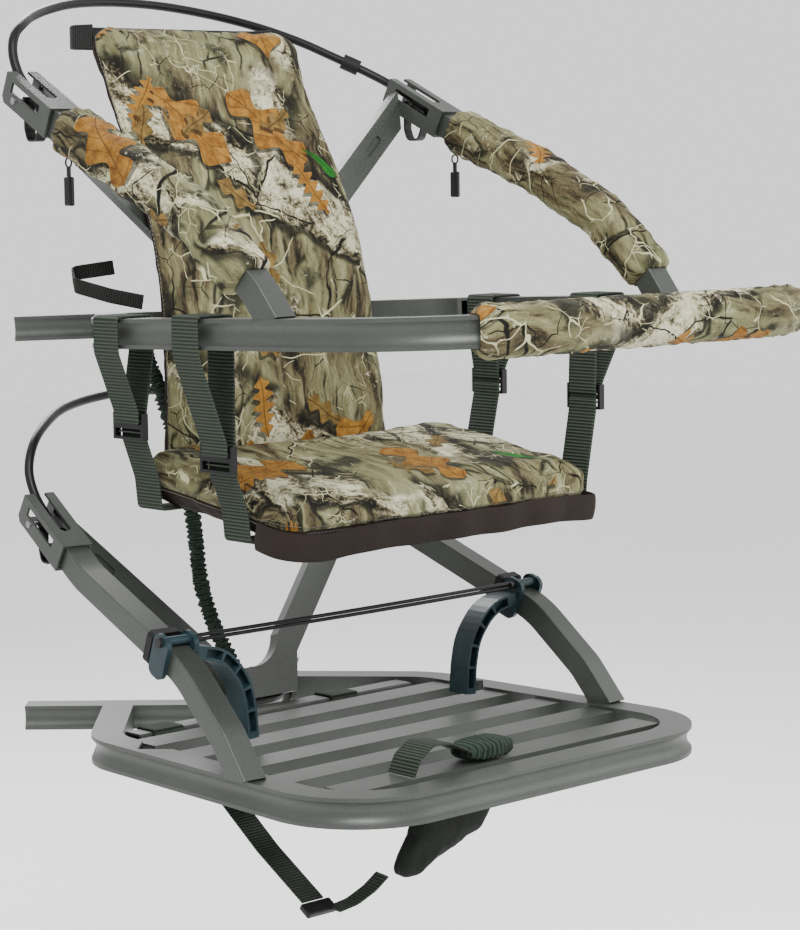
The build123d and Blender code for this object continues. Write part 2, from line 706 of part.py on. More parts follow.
def rail_half(y):
    return rail_outer(SEAT_FRONT, SEAT_HALF, SEAT_WAIST, SEAT_WAIST_Y, y)


def rail_top(y):
    return tilt_point(0, y, 0)[2]


def seat_floor(y):
    """Height of the seat's underside at a y."""
    a = radians(SEAT_SLOPE)
    return SEAT_BACK_Z + (y - SEAT_BACK_Y) * tan(a) - SEAT_T / cos(a)


def hanging_strap(y, buckle_z):
    """Webbing looped over the rail, meeting at the buckle, on under the seat."""
    xc = rail_half(y)
    top = rail_top(y) + WEB_T / 2 + 1.2
    bottom = top - RAIL_H
    wall = RAIL_W / 2 + WEB_T / 2 + 4.0
    xb = SEAT_W / 2 + 24.0
    low = seat_floor(y - WEB_W / 2) - WEB_T / 2 - 0.4
    edge = SEAT_W / 2 + WEB_T / 2 + 1.0
    plane = Plane(origin=(0, y, 0), x_dir=(1, 0, 0), z_dir=(0, -1, 0))
    lie = BUCKLE_T / 2 + WEB_T / 2 + FIT
    loop = [(xb + lie, buckle_z + 3.0), (xb + lie, buckle_z + 14.0), (xc + wall, bottom - 6.0), (xc + wall, top),
            (xc - wall, top), (xc - wall, bottom - 6.0),
            (xb - lie, buckle_z + 14.0), (xb - lie, buckle_z + 3.0)]
    upper = strip(loop, WEB_W, WEB_T, plane, [12, 16, 3.5, 3.5, 16, 12])
    lower = strip([(xb - lie, buckle_z - 3.0), (xb - lie, buckle_z - 14.0),
                   (edge + 3, low + 30.0), (edge, low),
                   (edge - 70.0, low)], WEB_W - 1, WEB_T, plane, [12, 40, 5])
    frame = Box(BUCKLE_T, BUCKLE_W, 26.0) - Pos(0, 0, 6.2) * Box(9, WEB_W + 1.5, 8.0) \
        - Pos(0, 0, -6.2) * Box(9, WEB_W + 1.5, 8.0)
    frame = Pos(xb, y, buckle_z) * frame
    return upper, lower, frame


STRAPS = {                 # where each strap hangs, and its buckle's height
    ("left", "front"): (-244.0, 292.0), ("left", "rear"): (-112.0, 315.0),
    ("right", "front"): (-280.0, 322.0), ("right", "rear"): (-140.0, 331.0)}
buckles = []
for side, tag in ((-1, "left"), (1, "right")):
    for where in ("front", "rear"):
        y, bz = STRAPS[tag, where]
        up, low, buckle = hanging_strap(y, bz)
        if side < 0:
            up, low, buckle = mirror_x(up), mirror_x(low), mirror_x(buckle)
        keep(f"seat_strap_{where}_{tag}", Compound(children=[up, low]))
        buckles.append(buckle)
keep("ladder_locks", Compound(children=buckles))

# webbing that ties the back cushion to the trunk side of the frame
top_tie_plan = [(-122, 80), (-128, 106), (-112, 132), (96, 113), (116, 104), (121, 80)]
tie_plane = Plane(origin=(0, 0, 698.0), x_dir=(1, 0, 0), z_dir=(0, 0, 1))
keep("back_top_tie", strip(top_tie_plan, 24.0, WEB_T, tie_plane, 12.0))
for side, tag in ((-1, "left"), (1, "right")):
    tie = strip([(146, -26.0), (156, 12.0), (171, 50.0), (150, 84.0), (108, 72.0)],
                24.0, WEB_T, Plane(origin=(0, 0, 446.0), x_dir=(1, 0, 0),
                                   z_dir=(0, 0, 1)), 12.0)
    keep(f"back_side_tie_{tag}", tie if side > 0 else mirror_x(tie))

# ---------------------------------------------------------------- foam sleeves
SLEEVE_T = 11.5
BAR_SLEEVE_HALF = 208.0


def arm_sleeve(arm, long):
    """Foam round the arm from near its foot to the receiver."""
    p = arm.points
    top = p[4] - (p[4] - p[3]).normalized() * 12
    if long:
        path = FilletPolyline(p[0] + (p[1] - p[0]) * 0.82, p[1], p[2], p[3], top,
                              radius=[18, 150, 220])
    else:
        path = FilletPolyline(p[1] + (p[2] - p[1]) * 0.16, p[2], p[3], top,
                              radius=[150, 220])
    w = ARM + 2 * SLEEVE_T
    hole = ARM + 2 * FIT
    return sweep(frame_at(path) * sleeve_section(w, w, 15.0, hole, hole), path=path)


for side, tag in ((-1, "left"), (1, "right")):
    sl = arm_sleeve(SEAT_ARM, side > 0)
    keep(f"arm_sleeve_{tag}", tilt(sl if side > 0 else mirror_x(sl)))


def bar_sleeve():
    """Foam round the front bar, running a little way into both bends."""
    z = -RAIL_H / 2
    full = FilletPolyline(
        (-SEAT_WAIST, SEAT_WAIST_Y, z), (-SEAT_HALF, SEAT_FRONT, z),
        (SEAT_HALF, SEAT_FRONT, z), (SEAT_WAIST, SEAT_WAIST_Y, z),
        radius=[SEAT_CORNER_R, SEAT_CORNER_R])
    section = sleeve_section(RAIL_W + 2 * 9.0, RAIL_H + 2 * 9.5, 17.0,
                             RAIL_W + 2 * FIT, RAIL_H + 2 * FIT)
    tube = sweep(frame_at(full) * section, path=full)
    keepers = Pos(0, SEAT_FRONT, z) * Box(2 * BAR_SLEEVE_HALF, 200, 120)
    return tube & keepers


keep("bar_sleeve", tilt(bar_sleeve()))


# ---------------------------------------------------------------- zip pulls
ZIP_Y = -67.0
a, b = SEAT_ARM.points[3], SEAT_ARM.points[4]
share = (ZIP_Y - a.Y) / (b.Y - a.Y)
lean = atan2(b.Z - a.Z, b.Y - a.Y)
zip_at = tilt_point(a.X + (b.X - a.X) * share, ZIP_Y,
                    a.Z + (b.Z - a.Z) * share - (ARM / 2 + SLEEVE_T) / cos(lean))
ZIP_X, ZIP_Y, ZIP_Z = zip_at[0], zip_at[1], zip_at[2] - 2.2


def zip_pull(x, y, z):
    """Wire loop and moulded tab hanging from the end of a sleeve's zip."""
    ring = Pos(x, y, z - 5.5) * Rotation(0, 90, 0) * Torus(4.6, 0.9)
    link = Pos(x, y, z - 14.5) * Box(2.2, 4.2, 11.0)
    tab = Pos(x, y, z - 33.0) * Box(6.0, 11.0, 28.0)
    tab = fillet(tab.edges(), 2.0)
    return ring + link + tab


for side, tag in ((-1, "left"), (1, "right")):
    keep(f"zip_pull_{tag}", zip_pull(side * ZIP_X, ZIP_Y, ZIP_Z))

# ---------------------------------------------------------------- cables
def cord(points, dia, share=0.45, name=""):
    pts = [Vector(*p) for p in points]
    radii = []
    for a, b, c in zip(pts, pts[1:], pts[2:]):
        u, w = b - a, c - b
        half = radians(u.get_angle(w)) / 2
        radii.append(share * min(u.length, w.length) / tan(half))
    path = FilletPolyline(*pts, radius=radii)
    tube = sweep(frame_at(path) * Circle(dia / 2), path=path)
    print(f"{name}: length {path.length:.0f} radii", [round(r) for r in radii])
    return tube, path


CABLE_RISE = 4.0           # the cable lies above the receiver's axis
STOP_END = 50.0            # how far along the receiver its end stop reaches


def tilted(v):
    return Vector(*tilt_point(v.X, v.Y, v.Z))


def flat(v):
    return v


def cable_route(arm, place, points):
    """Whole cable, out of one receiver, round the trunk and into the other."""
    inner = place(arm.place(STOP_END, CABLE_RISE))
    mouth = place(arm.place(STOP_END + 27.0, CABLE_RISE))
    mirrored = [(-v.X, v.Y, v.Z) for v in (inner, mouth)]
    return mirrored + points + [(v.X, v.Y, v.Z) for v in (mouth, inner)]


CLIMBER_CABLE = cable_route(SEAT_ARM, tilted, [
    (-256, 33, 672), (-249, 40, 694),
    (-230, 50, 706), (-200, 78, 715), (-160, 107, 724.5), (-110, 129, 734),
    (-50, 140, 738), (15, 142, 736.5), (80, 136, 728.5), (135, 120, 716),
    (178, 97, 699.5), (205, 76, 683.5), (237, 49, 664.5)])
PLATFORM_CABLE = cable_route(PLATFORM_ARM, flat, [
    (-217, 80, 250), (-210, 87, 270),
    (-194, 98, 287), (-165, 119, 299), (-125, 148, 309), (-75, 168, 315),
    (-20, 176, 319), (35, 175, 317.5), (90, 162, 312), (138, 140, 303),
    (175, 115, 291), (198, 98, 274), (212, 85, 253)])
tube, cable_path = cord(CLIMBER_CABLE, CABLE_D, name="climber cable")
keep("climber_cable", tube)
tube, _ = cord(PLATFORM_CABLE, CABLE_D, name="platform cable")
keep("platform_cable", tube)


def cable_stop(arm, place):
    pl = arm.receiver_plane()
    a = place(pl.from_local_coords(Vector(0, CABLE_RISE, STOP_END - STOP_L)))
    b = place(pl.from_local_coords(Vector(0, CABLE_RISE, STOP_END)))
    stop = extrude(Plane(origin=a, z_dir=b - a) * Circle(STOP_D / 2), STOP_L)
    return stop


stops = ([], [])
for side, tag in ((-1, "left"), (1, "right")):
    a, b = cable_stop(SEAT_ARM, tilted), cable_stop(PLATFORM_ARM, flat)
    stops[0].append(a if side > 0 else mirror_x(a))
    stops[1].append(b if side > 0 else mirror_x(b))
keep("climber_cable_stops", Compound(children=stops[0]))
keep("platform_cable_stops", Compound(children=stops[1]))
a, b = Vector(*CLIMBER_CABLE[-4]), Vector(*CLIMBER_CABLE[-3])
mid, run = (a + b) * 0.5, (b - a).normalized()
keep("cable_sleeve", extrude(Plane(origin=mid - run * 10, z_dir=run)
                             * (Circle(8.5) - Circle(CABLE_D / 2 + 0.4)), 20.0))

# tether that keeps the platform from dropping away from the climber
TETHER_D = 14.0
TETHER = [(-100, 34, 374), (-92, 22, 340), (-82, 8, 285), (-75, -3, 235), (-72.6, -10, 183),
          (-71, -16, 126), (-58, -22, 83), (-38, -29, 40), (-26, -31, 14)]
tube, _ = cord(TETHER, TETHER_D, name="tether")
keep("tether", tube)

for name, shape in NODES.items():
    export_step(shape, f"parts/{name}.step")
    bb = shape.bounding_box()
    print(f"{name:28s} solids {len(shape.solids())} vol {shape.volume/1000:9.1f} cm3 "
          f"[{bb.min.X:.0f} {bb.min.Y:.0f} {bb.min.Z:.0f}]..[{bb.max.X:.0f} {bb.max.Y:.0f} {bb.max.Z:.0f}]")
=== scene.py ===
"""Looks of a two-piece climbing tree stand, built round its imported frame."""

import json
import logging
import math
from dataclasses import dataclass, field
from enum import Enum
from typing import Dict, List, Optional, Sequence, Tuple

import bmesh
import bpy
import numpy as np
from mathutils import Matrix, Vector, noise
from mathutils.bvhtree import BVHTree

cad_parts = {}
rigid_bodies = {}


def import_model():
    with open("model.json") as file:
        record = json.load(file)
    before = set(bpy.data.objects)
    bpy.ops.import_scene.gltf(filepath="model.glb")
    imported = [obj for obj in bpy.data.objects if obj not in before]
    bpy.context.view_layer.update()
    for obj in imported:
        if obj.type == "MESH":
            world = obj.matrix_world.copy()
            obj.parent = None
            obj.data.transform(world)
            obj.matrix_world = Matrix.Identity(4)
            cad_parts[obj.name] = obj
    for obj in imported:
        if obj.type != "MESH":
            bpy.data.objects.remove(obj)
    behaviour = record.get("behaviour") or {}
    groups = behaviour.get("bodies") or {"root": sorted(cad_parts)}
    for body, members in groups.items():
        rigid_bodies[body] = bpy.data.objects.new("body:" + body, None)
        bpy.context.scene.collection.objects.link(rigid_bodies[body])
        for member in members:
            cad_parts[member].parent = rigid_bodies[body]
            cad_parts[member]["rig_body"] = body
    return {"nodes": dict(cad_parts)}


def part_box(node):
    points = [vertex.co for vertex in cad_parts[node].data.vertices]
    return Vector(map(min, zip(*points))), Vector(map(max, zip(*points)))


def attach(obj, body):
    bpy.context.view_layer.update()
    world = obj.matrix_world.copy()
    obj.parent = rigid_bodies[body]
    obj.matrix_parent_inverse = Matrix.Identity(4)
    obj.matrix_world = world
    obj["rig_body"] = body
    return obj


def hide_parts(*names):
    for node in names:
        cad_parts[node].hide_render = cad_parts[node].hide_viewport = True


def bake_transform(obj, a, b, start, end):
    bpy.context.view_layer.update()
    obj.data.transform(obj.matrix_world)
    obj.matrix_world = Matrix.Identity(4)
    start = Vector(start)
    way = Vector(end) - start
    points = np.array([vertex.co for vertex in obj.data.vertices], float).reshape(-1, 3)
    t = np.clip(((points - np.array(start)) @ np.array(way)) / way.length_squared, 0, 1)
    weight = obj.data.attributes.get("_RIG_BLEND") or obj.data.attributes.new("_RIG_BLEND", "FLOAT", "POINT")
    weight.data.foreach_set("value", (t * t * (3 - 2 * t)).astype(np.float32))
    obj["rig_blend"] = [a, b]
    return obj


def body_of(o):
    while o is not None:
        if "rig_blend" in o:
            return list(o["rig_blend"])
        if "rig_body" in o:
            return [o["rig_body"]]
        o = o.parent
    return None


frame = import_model()

LOG = logging.getLogger("stand")
Point = Tuple[float, float, float]
Colour = Tuple[float, float, float]
MM = 0.001


# ------------------------------------------------------------------ shader tools
class Num:
    """A number travelling through a material, with Python's own operators."""

    def __init__(self, shop: "Paint", socket: object) -> None:
        """Wraps one output socket.

        Args:
            shop: The material that the socket belongs to.
            socket: The output socket.
        """
        self.shop = shop
        self.socket = socket

    def op(self, operation: str, *others: object, clamp: bool = False) -> "Num":
        """Adds one Math node.

        Args:
            operation: The Math node's operation.
            others: Numbers or wrapped sockets for the remaining inputs.
            clamp: Whether the result is kept between 0 and 1.

        Returns:
            The node's output, wrapped.
        """
        node = self.shop.node("ShaderNodeMath",
                              {"operation": operation, "use_clamp": clamp},
                              dict(enumerate((self,) + others)))
        return Num(self.shop, node.outputs[0])

    def __add__(self, o: object) -> "Num":
        """Sum."""
        return self.op("ADD", o)

    __radd__ = __add__

    def __mul__(self, o: object) -> "Num":
        """Product."""
        return self.op("MULTIPLY", o)

    __rmul__ = __mul__

    def __sub__(self, o: object) -> "Num":
        """Difference."""
        return self.op("SUBTRACT", o)

    def __rsub__(self, o: object) -> "Num":
        """Difference with the wrapped number last."""
        return (self * -1.0) + o

    def __truediv__(self, o: object) -> "Num":
        """Quotient."""
        return self.op("DIVIDE", o)

    def __abs__(self) -> "Num":
        """Magnitude."""
        return self.op("ABSOLUTE")

    def sin(self) -> "Num":
        """Sine of a number in radians."""
        return self.op("SINE")

    def cos(self) -> "Num":
        """Cosine of a number in radians."""
        return self.op("COSINE")

    def root(self) -> "Num":
        """Square root, of zero where the number is negative."""
        return self.op("MAXIMUM", 0.0).op("SQRT")

    def part(self) -> "Num":
        """Fractional part."""
        return self.op("FRACT")

    def step(self, low: float, high: float) -> "Num":
        """Smooth rise from 0 at low to 1 at high.

        Args:
            low: Where the result is 0.
            high: Where the result is 1; below low for a fall.

        Returns:
            The mask.
        """
        t = (self - low).op("DIVIDE", high - low, clamp=True)
        return t * t * (3.0 - 2.0 * t)


class Paint:
    """One procedural material and the tools that fill its node tree."""

    def __init__(self, name: str) -> None:
        """Starts a material with a bare Principled shader.

        Args:
            name: Name of the material.
        """
        self.material = bpy.data.materials.new(name)
        self.material.use_nodes = True
        self.tree = self.material.node_tree
        self.tree.nodes.clear()
        self.shader = self.tree.nodes.new("ShaderNodeBsdfPrincipled")
        out = self.tree.nodes.new("ShaderNodeOutputMaterial")
        self.tree.links.new(self.shader.outputs[0], out.inputs[0])

    def feed(self, socket: object, value: object) -> None:
        """Links or sets one input socket."""
        if isinstance(value, Num):
            self.tree.links.new(value.socket, socket)
        elif isinstance(value, bpy.types.NodeSocket):
            self.tree.links.new(value, socket)
        elif isinstance(value, tuple) and len(value) == 3 and socket.type == "RGBA":
            socket.default_value = (*value, 1.0)
        else:
            socket.default_value = value

    def node(self, kind: str, settings: Dict[str, object],
             sockets: Dict[object, object]) -> bpy.types.Node:
        """Adds any node.

        Args:
            kind: The node's type.
            settings: Its options, set before its sockets.
            sockets: Values or links by socket name or number.

        Returns:
            The node.
        """
        n = self.tree.nodes.new(kind)
        for key, value in settings.items():
            setattr(n, key, value)
        for key, value in sockets.items():
            self.feed(n.inputs[key], value)
        return n

    def coords(self, uv: bool = False) -> object:
        """Object coordinates, or the piece's own flat coordinates in metres."""
        n = self.node("ShaderNodeTexCoord", {}, {})
        return n.outputs["UV" if uv else "Object"]

    def vector(self, x: object, y: object, z: object = 0.0) -> object:
        """Packs three numbers into a vector socket."""
        return self.node("ShaderNodeCombineXYZ", {}, {0: x, 1: y, 2: z}).outputs[0]

    def split(self, vec: object) -> Tuple["Num", "Num", "Num"]:
        """Three wrapped parts of a vector."""
        n = self.node("ShaderNodeSeparateXYZ", {}, {0: vec})
        return tuple(Num(self, o) for o in n.outputs)

    def noise(self, vec: object, scale: float, detail: float = 4.0,
              rough: float = 0.55, bend: float = 0.0) -> "Num":
        """Noise between about 0 and 1."""
        n = self.node("ShaderNodeTexNoise", {}, {
            "Vector": vec, "Scale": scale, "Detail": detail,
            "Roughness": rough, "Distortion": bend})
        return Num(self, n.outputs[0])

    def cells(self, vec: object, scale: float, feature: str = "F1",
              jitter: float = 1.0) -> bpy.types.Node:
        """A Voronoi node."""
        return self.node("ShaderNodeTexVoronoi", {"feature": feature},
                         {"Vector": vec, "Scale": scale, "Randomness": jitter})

    def mix(self, mask: object, a: object, b: object) -> object:
        """Colour a where mask is 0 and b where it is 1."""
        n = self.node("ShaderNodeMix", {"data_type": "RGBA"}, {0: mask, 6: a, 7: b})
        return n.outputs[2]

    def tint(self, a: object, by: Colour) -> object:
        """Colour a multiplied by a plain colour."""
        n = self.node("ShaderNodeMix", {"data_type": "RGBA", "blend_type": "MULTIPLY"},
                      {0: 1.0, 6: a, 7: by})
        return n.outputs[2]

    def ramp(self, value: object, stops: Sequence[Tuple[float, Colour]]) -> object:
        """Colour ramp over a number."""
        n = self.tree.nodes.new("ShaderNodeValToRGB")
        band = n.color_ramp
        while len(band.elements) > 1:
            band.elements.remove(band.elements[-1])
        band.elements[0].position = stops[0][0]
        band.elements[0].color = (*stops[0][1], 1.0)
        for pos, colour in stops[1:]:
            band.elements.new(pos).color = (*colour, 1.0)
        self.feed(n.inputs[0], value)
        return n.outputs[0]

    def bump(self, height: object, strength: float, distance: float) -> None:
        """Gives the shader a bumped normal."""
        n = self.node("ShaderNodeBump", {}, {
            "Strength": strength, "Distance": distance, "Height": height})
        self.tree.links.new(n.outputs[0], self.shader.inputs["Normal"])

    def surface(self, **values: object) -> bpy.types.Material:
        """Fills the shader's sockets, with _ for spaces in their names."""
        for key, value in values.items():
            self.feed(self.shader.inputs[key.replace("_", " ")], value)
        return self.material


# ------------------------------------------------------------------ finishes
@dataclass(frozen=True)
class PowderCoat:
    """Fine-textured baked paint on the aluminium frame."""

    colour: Colour = (0.030, 0.034, 0.029)
    worn: Colour = (0.17, 0.17, 0.16)
    grain: float = 900.0

    def make(self) -> bpy.types.Material:
        """Builds the material."""
        p = Paint("powder_coat")
        at = p.coords()
        cloud = p.noise(at, 9.0, 5.0)
        fine = p.noise(at, self.grain, 2.0)
        scuff = p.noise(at, 55.0, 9.0, 0.72).step(0.68, 0.76)
        low = tuple(c * 0.80 for c in self.colour)
        high = tuple(c * 1.25 for c in self.colour)
        base = p.mix(cloud.step(0.3, 0.7), low, high)
        base = p.mix(fine.step(0.40, 0.70) * 0.6, base, tuple(c * 1.9 for c in self.colour))
        base = p.mix(scuff * 0.28, base, self.worn)
        p.bump(fine, 0.22, 0.0006)
        return p.surface(Base_Color=base, Roughness=0.36 + cloud * 0.14,
                         Metallic=0.25, Specular_IOR_Level=0.6)


@dataclass(frozen=True)
class Moulded:
    """Moulded plastic or rubber with a faint grain."""

    name: str
    colour: Colour
    rough: float = 0.5
    grain: float = 900.0
    depth: float = 0.15
    gloss: float = 0.22

    def make(self) -> bpy.types.Material:
        """Builds the material."""
        p = Paint(self.name)
        at = p.coords()
        cloud = p.noise(at, 24.0, 5.0)
        fine = p.noise(at, self.grain, 3.0)
        low = tuple(c * 0.75 for c in self.colour)
        high = tuple(c * 1.3 for c in self.colour)
        p.bump(fine, self.depth, 0.0006)
        return p.surface(Base_Color=p.mix(cloud.step(0.3, 0.7), low, high),
                         Roughness=cloud * 0.2 + (self.rough - 0.1),
                         Specular_IOR_Level=self.gloss)


@dataclass(frozen=True)
class CoatedSteel:
    """Dark spring steel, brighter where it has rubbed."""

    name: str = "latch_steel"
    colour: Colour = (0.022, 0.022, 0.021)
    metal: float = 0.7

    def make(self) -> bpy.types.Material:
        """Builds the material."""
        p = Paint(self.name)
        at = p.coords()
        rub = p.noise(at, 90.0, 6.0, 0.7).step(0.52, 0.72)
        high = tuple(min(1.0, c * 2.1) for c in self.colour)
        p.bump(p.noise(at, 700.0, 3.0), 0.12, 0.0005)
        return p.surface(Base_Color=p.mix(rub * 0.5, self.colour, high),
                         Roughness=0.5 - rub * 0.16, Metallic=self.metal)


@dataclass(frozen=True)
class Webbing:
    """Ribbed narrow-woven strap: u runs across it and v along it, in metres."""

    name: str = "webbing"
    thread: Colour = (0.007, 0.011, 0.008)
    pale: Colour = (0.044, 0.058, 0.042)
    pitch: float = 0.0034
    half: float = 0.019

    def make(self) -> bpy.types.Material:
        """Builds the material."""
        p = Paint(self.name)
        u, v, _ = p.split(p.coords(uv=True))
        fuzz = p.noise(p.coords(), 1500.0, 2.0)
        rib = (v * (2 * math.pi / self.pitch)).sin() * 0.5 + 0.5
        ends = (u * (2 * math.pi / 0.0017)).sin() * 0.5 + 0.5
        edge = abs(u).step(self.half - 0.0022, self.half - 0.0008)
        height = rib * (1.0 - edge * 0.7) + ends * 0.25 + fuzz * 0.3
        tone = (rib * 0.62 + ends * 0.18 + fuzz * 0.34).step(0.25, 0.95)
        dirt = p.noise(p.coords(), 28.0, 5.0).step(0.35, 0.7)
        base = p.mix(tone, self.thread, self.pale)
        base = p.mix(dirt * 0.25, base, (0.034, 0.037, 0.026))
        p.bump(height, 0.9, 0.0012)
        return p.surface(Base_Color=base, Roughness=0.80, Specular_IOR_Level=0.22)


@dataclass(frozen=True)
class Backing:
    """Plain woven nylon under and behind the cushions."""

    name: str = "brown_backing"
    colour: Colour = (0.0095, 0.0052, 0.0036)

    def make(self) -> bpy.types.Material:
        """Builds the material."""
        p = Paint(self.name)
        at = p.coords()
        weave = p.noise(at, 1300.0, 2.0)
        cloud = p.noise(at, 30.0, 6.0).step(0.3, 0.75)
        high = tuple(c * 1.7 for c in self.colour)
        base = p.mix(cloud * 0.55 + weave * 0.4, self.colour, high)
        p.bump(weave + cloud * 2.5, 0.5, 0.0012)
        return p.surface(Base_Color=base, Roughness=0.82, Specular_IOR_Level=0.25)


@dataclass(frozen=True)
class WoodlandPrint:
    """Printed cloth of bark, limbs, twigs and oak leaves.

    It reads the piece's flat coordinates in metres, so the print follows the
    cloth round corners.
    """

    dark: Colour = (0.006, 0.006, 0.004)
    umber: Colour = (0.042, 0.032, 0.018)
    bark: Colour = (0.150, 0.128, 0.075)
    moss: Colour = (0.225, 0.225, 0.130)
    pale: Colour = (0.62, 0.61, 0.48)
    rust: Colour = (0.185, 0.074, 0.010)
    straw: Colour = (0.48, 0.25, 0.055)
    green: Colour = (0.008, 0.110, 0.012)

    def leaf(self, p: Paint, u: Num, v: Num, scale: float, share: float,
             long: float, wide: float, lobes: float,
             shift: float) -> Tuple[Num, Num, Num]:
        """Scattered lobed leaves.

        Args:
            p: The material being made.
            u: Position across the cloth.
            v: Position along the cloth.
            scale: Cells to the metre.
            share: Share of the cells that hold a leaf.
            long: Half length of a leaf in metres.
            wide: Half width of a leaf in metres.
            lobes: Lobes along each side.
            shift: Offset that keeps two layers apart.

        Returns:
            Masks of the leaf, of its veins, and its random tone.
        """
        at = p.vector(u + shift, v + shift * 0.7)
        spot = p.cells(at, scale, "F1", 0.75)
        px, py, _ = p.split(spot.outputs["Position"])
        r1, r2, r3 = p.split(spot.outputs["Color"])
        dx, dy = (u + shift) - px, (v + shift * 0.7) - py
        turn = r1 * 6.283
        c, s = turn.cos(), turn.sin()
        x = dx * c + dy * s
        y = dy * c - dx * s + (x * (3.1 / long)).sin() * (0.10 * wide)
        ratio = x * (1.0 / long)
        body = (1.0 - ratio * ratio).root()
        tooth = (x * (lobes * math.pi / long) + r3 * 3.0).cos() * 0.36 + 0.70
        rim = body * tooth * wide
        inside = rim - abs(y)
        mask = inside.step(0.0, 0.0012) * r2.step(share, share - 0.02)
        rib = abs(y).step(0.0011, 0.0004)
        slant = ((x - abs(y) * 1.15) * (lobes * 2.0 * math.pi / long)).sin()
        vein = slant.step(0.90, 0.99) * 0.7
        return mask, rib.op("MAXIMUM", vein), r3

    def make(self) -> bpy.types.Material:
        """Builds the material."""
        p = Paint("woodland_cloth")
        flat = p.coords(uv=True)
        u0, v0, _ = p.split(flat)
        bend = p.noise(flat, 7.0, 3.0) - 0.5
        bend2 = p.noise(p.vector(v0, u0, 0.4), 16.0, 3.0) - 0.5
        u = u0 + bend * 0.07 + bend2 * 0.012
        v = v0 + bend2 * 0.05
        # ground: upright bark streaks over mossy grey
        streak = p.noise(p.vector(u * 62.0, v * 11.0), 1.0, 10.0, 0.72)
        shade = p.noise(p.vector(u * 12.0, v * 5.0, 2.0), 1.0, 5.0, 0.62)
        ground = p.ramp(streak * 0.72 + shade * 0.38, [
            (0.40, self.dark), (0.46, self.umber), (0.52, self.bark),
            (0.57, self.moss), (0.64, (0.37, 0.36, 0.24)), (0.74, self.pale)])
        calm = shade.step(0.47, 0.58)
        smooth = p.ramp(streak, [(0.32, (0.115, 0.112, 0.062)), (0.5, self.moss),
                                 (0.62, (0.33, 0.33, 0.215)), (0.8, (0.45, 0.45, 0.33))])
        base = p.mix(calm * 0.85, ground, smooth)
        cracks = p.cells(p.vector(u * 48.0, v * 15.0), 1.0, "DISTANCE_TO_EDGE")
        crack = Num(p, cracks.outputs[0]).step(0.10, 0.02)
        rough = p.noise(flat, 13.0, 5.0).step(0.46, 0.56)
        base = p.mix(crack * rough * 0.9, base, self.dark)
        fine = p.noise(p.vector(u * 420.0, v * 150.0), 1.0, 5.0, 0.75)
        base = p.mix(fine.step(0.56, 0.70) * 0.55, base, self.umber)
        base = p.mix(fine.step(0.42, 0.30) * 0.45, base, self.pale)
        # deep shade between the limbs
        deep = p.noise(p.vector(u0 * 1.3, v0, 8.0), 9.5, 5.0, 0.6).step(0.56, 0.64)
        base = p.mix(deep * 0.86, base, (0.012, 0.013, 0.011))
        # leaning limbs of pale furrowed bark
        speckle = p.noise(flat, 250.0, 6.0, 0.8)
        for lean, along, rate, start, wide, gate_at in (
                (u0 * 0.62 + v0 * 1.0 + bend * 0.15, u0 * 1.0 - v0 * 0.62,
                 3.4, 0.12, 0.30, 0.45),
                (u0 * 1.0 - v0 * 0.42 + bend * 0.12, u0 * 0.42 + v0 * 1.0,
                 4.1, 0.55, 0.24, 0.50)):
            band = (lean * rate + start).part()
            limb = band.step(0.02, 0.035) * band.step(wide + 0.02, wide)
            grain = p.noise(p.vector(lean * 70.0, along * 30.0, 5.0), 1.0, 8.0, 0.75)
            round_off = band.step(0.0, wide * 0.55) * band.step(wide * 1.1, wide * 0.5)
            tone = grain * 0.62 + speckle * 0.36 + round_off * 0.10
            skin = p.ramp(tone, [(0.47, self.dark), (0.50, (0.060, 0.050, 0.030)),
                                 (0.535, (0.23, 0.205, 0.135)), (0.58, self.pale),
                                 (0.66, (0.82, 0.81, 0.72))])
            broken = p.noise(p.vector(u0, v0, start), 5.0, 4.0)
            broken = broken.step(gate_at, gate_at + 0.04)
            edge = band.step(0.0, 0.02) * band.step(0.06, 0.03) \
                + band.step(wide - 0.03, wide) * band.step(wide + 0.07, wide + 0.02)
            base = p.mix(limb * broken, base, skin)
            base = p.mix(edge * broken * 0.85, base, self.dark)
        # patches of lichen and flecks
        lichen = p.noise(flat, 120.0, 8.0, 0.8).step(0.55, 0.60) \
            * p.noise(flat, 8.5, 3.0).step(0.52, 0.62)
        base = p.mix(lichen * 0.9, base, (0.66, 0.66, 0.56))
        base = p.mix(speckle.step(0.58, 0.66) * rough * 0.7, base, self.dark)
        # bare twigs, light over dark
        wav = p.vector(u0 + bend2 * 0.05, v0 + bend * 0.06)
        for scale, hue, width, area in ((11.0, self.dark, 0.013, 0.50),
                                        (23.0, self.dark, 0.014, 0.52),
                                        (15.0, (0.60, 0.60, 0.42), 0.0105, 0.50),
                                        (31.0, (0.64, 0.64, 0.46), 0.0150, 0.55),
                                        (44.0, (0.64, 0.64, 0.46), 0.0190, 0.58)):
            net = p.cells(wav, scale, "DISTANCE_TO_EDGE")
            line = Num(p, net.outputs[0]).step(width, width * 0.45)
            gate = p.noise(flat, scale * 0.5, 2.0).step(area, area + 0.03)
            base = p.mix(line * gate, base, hue)
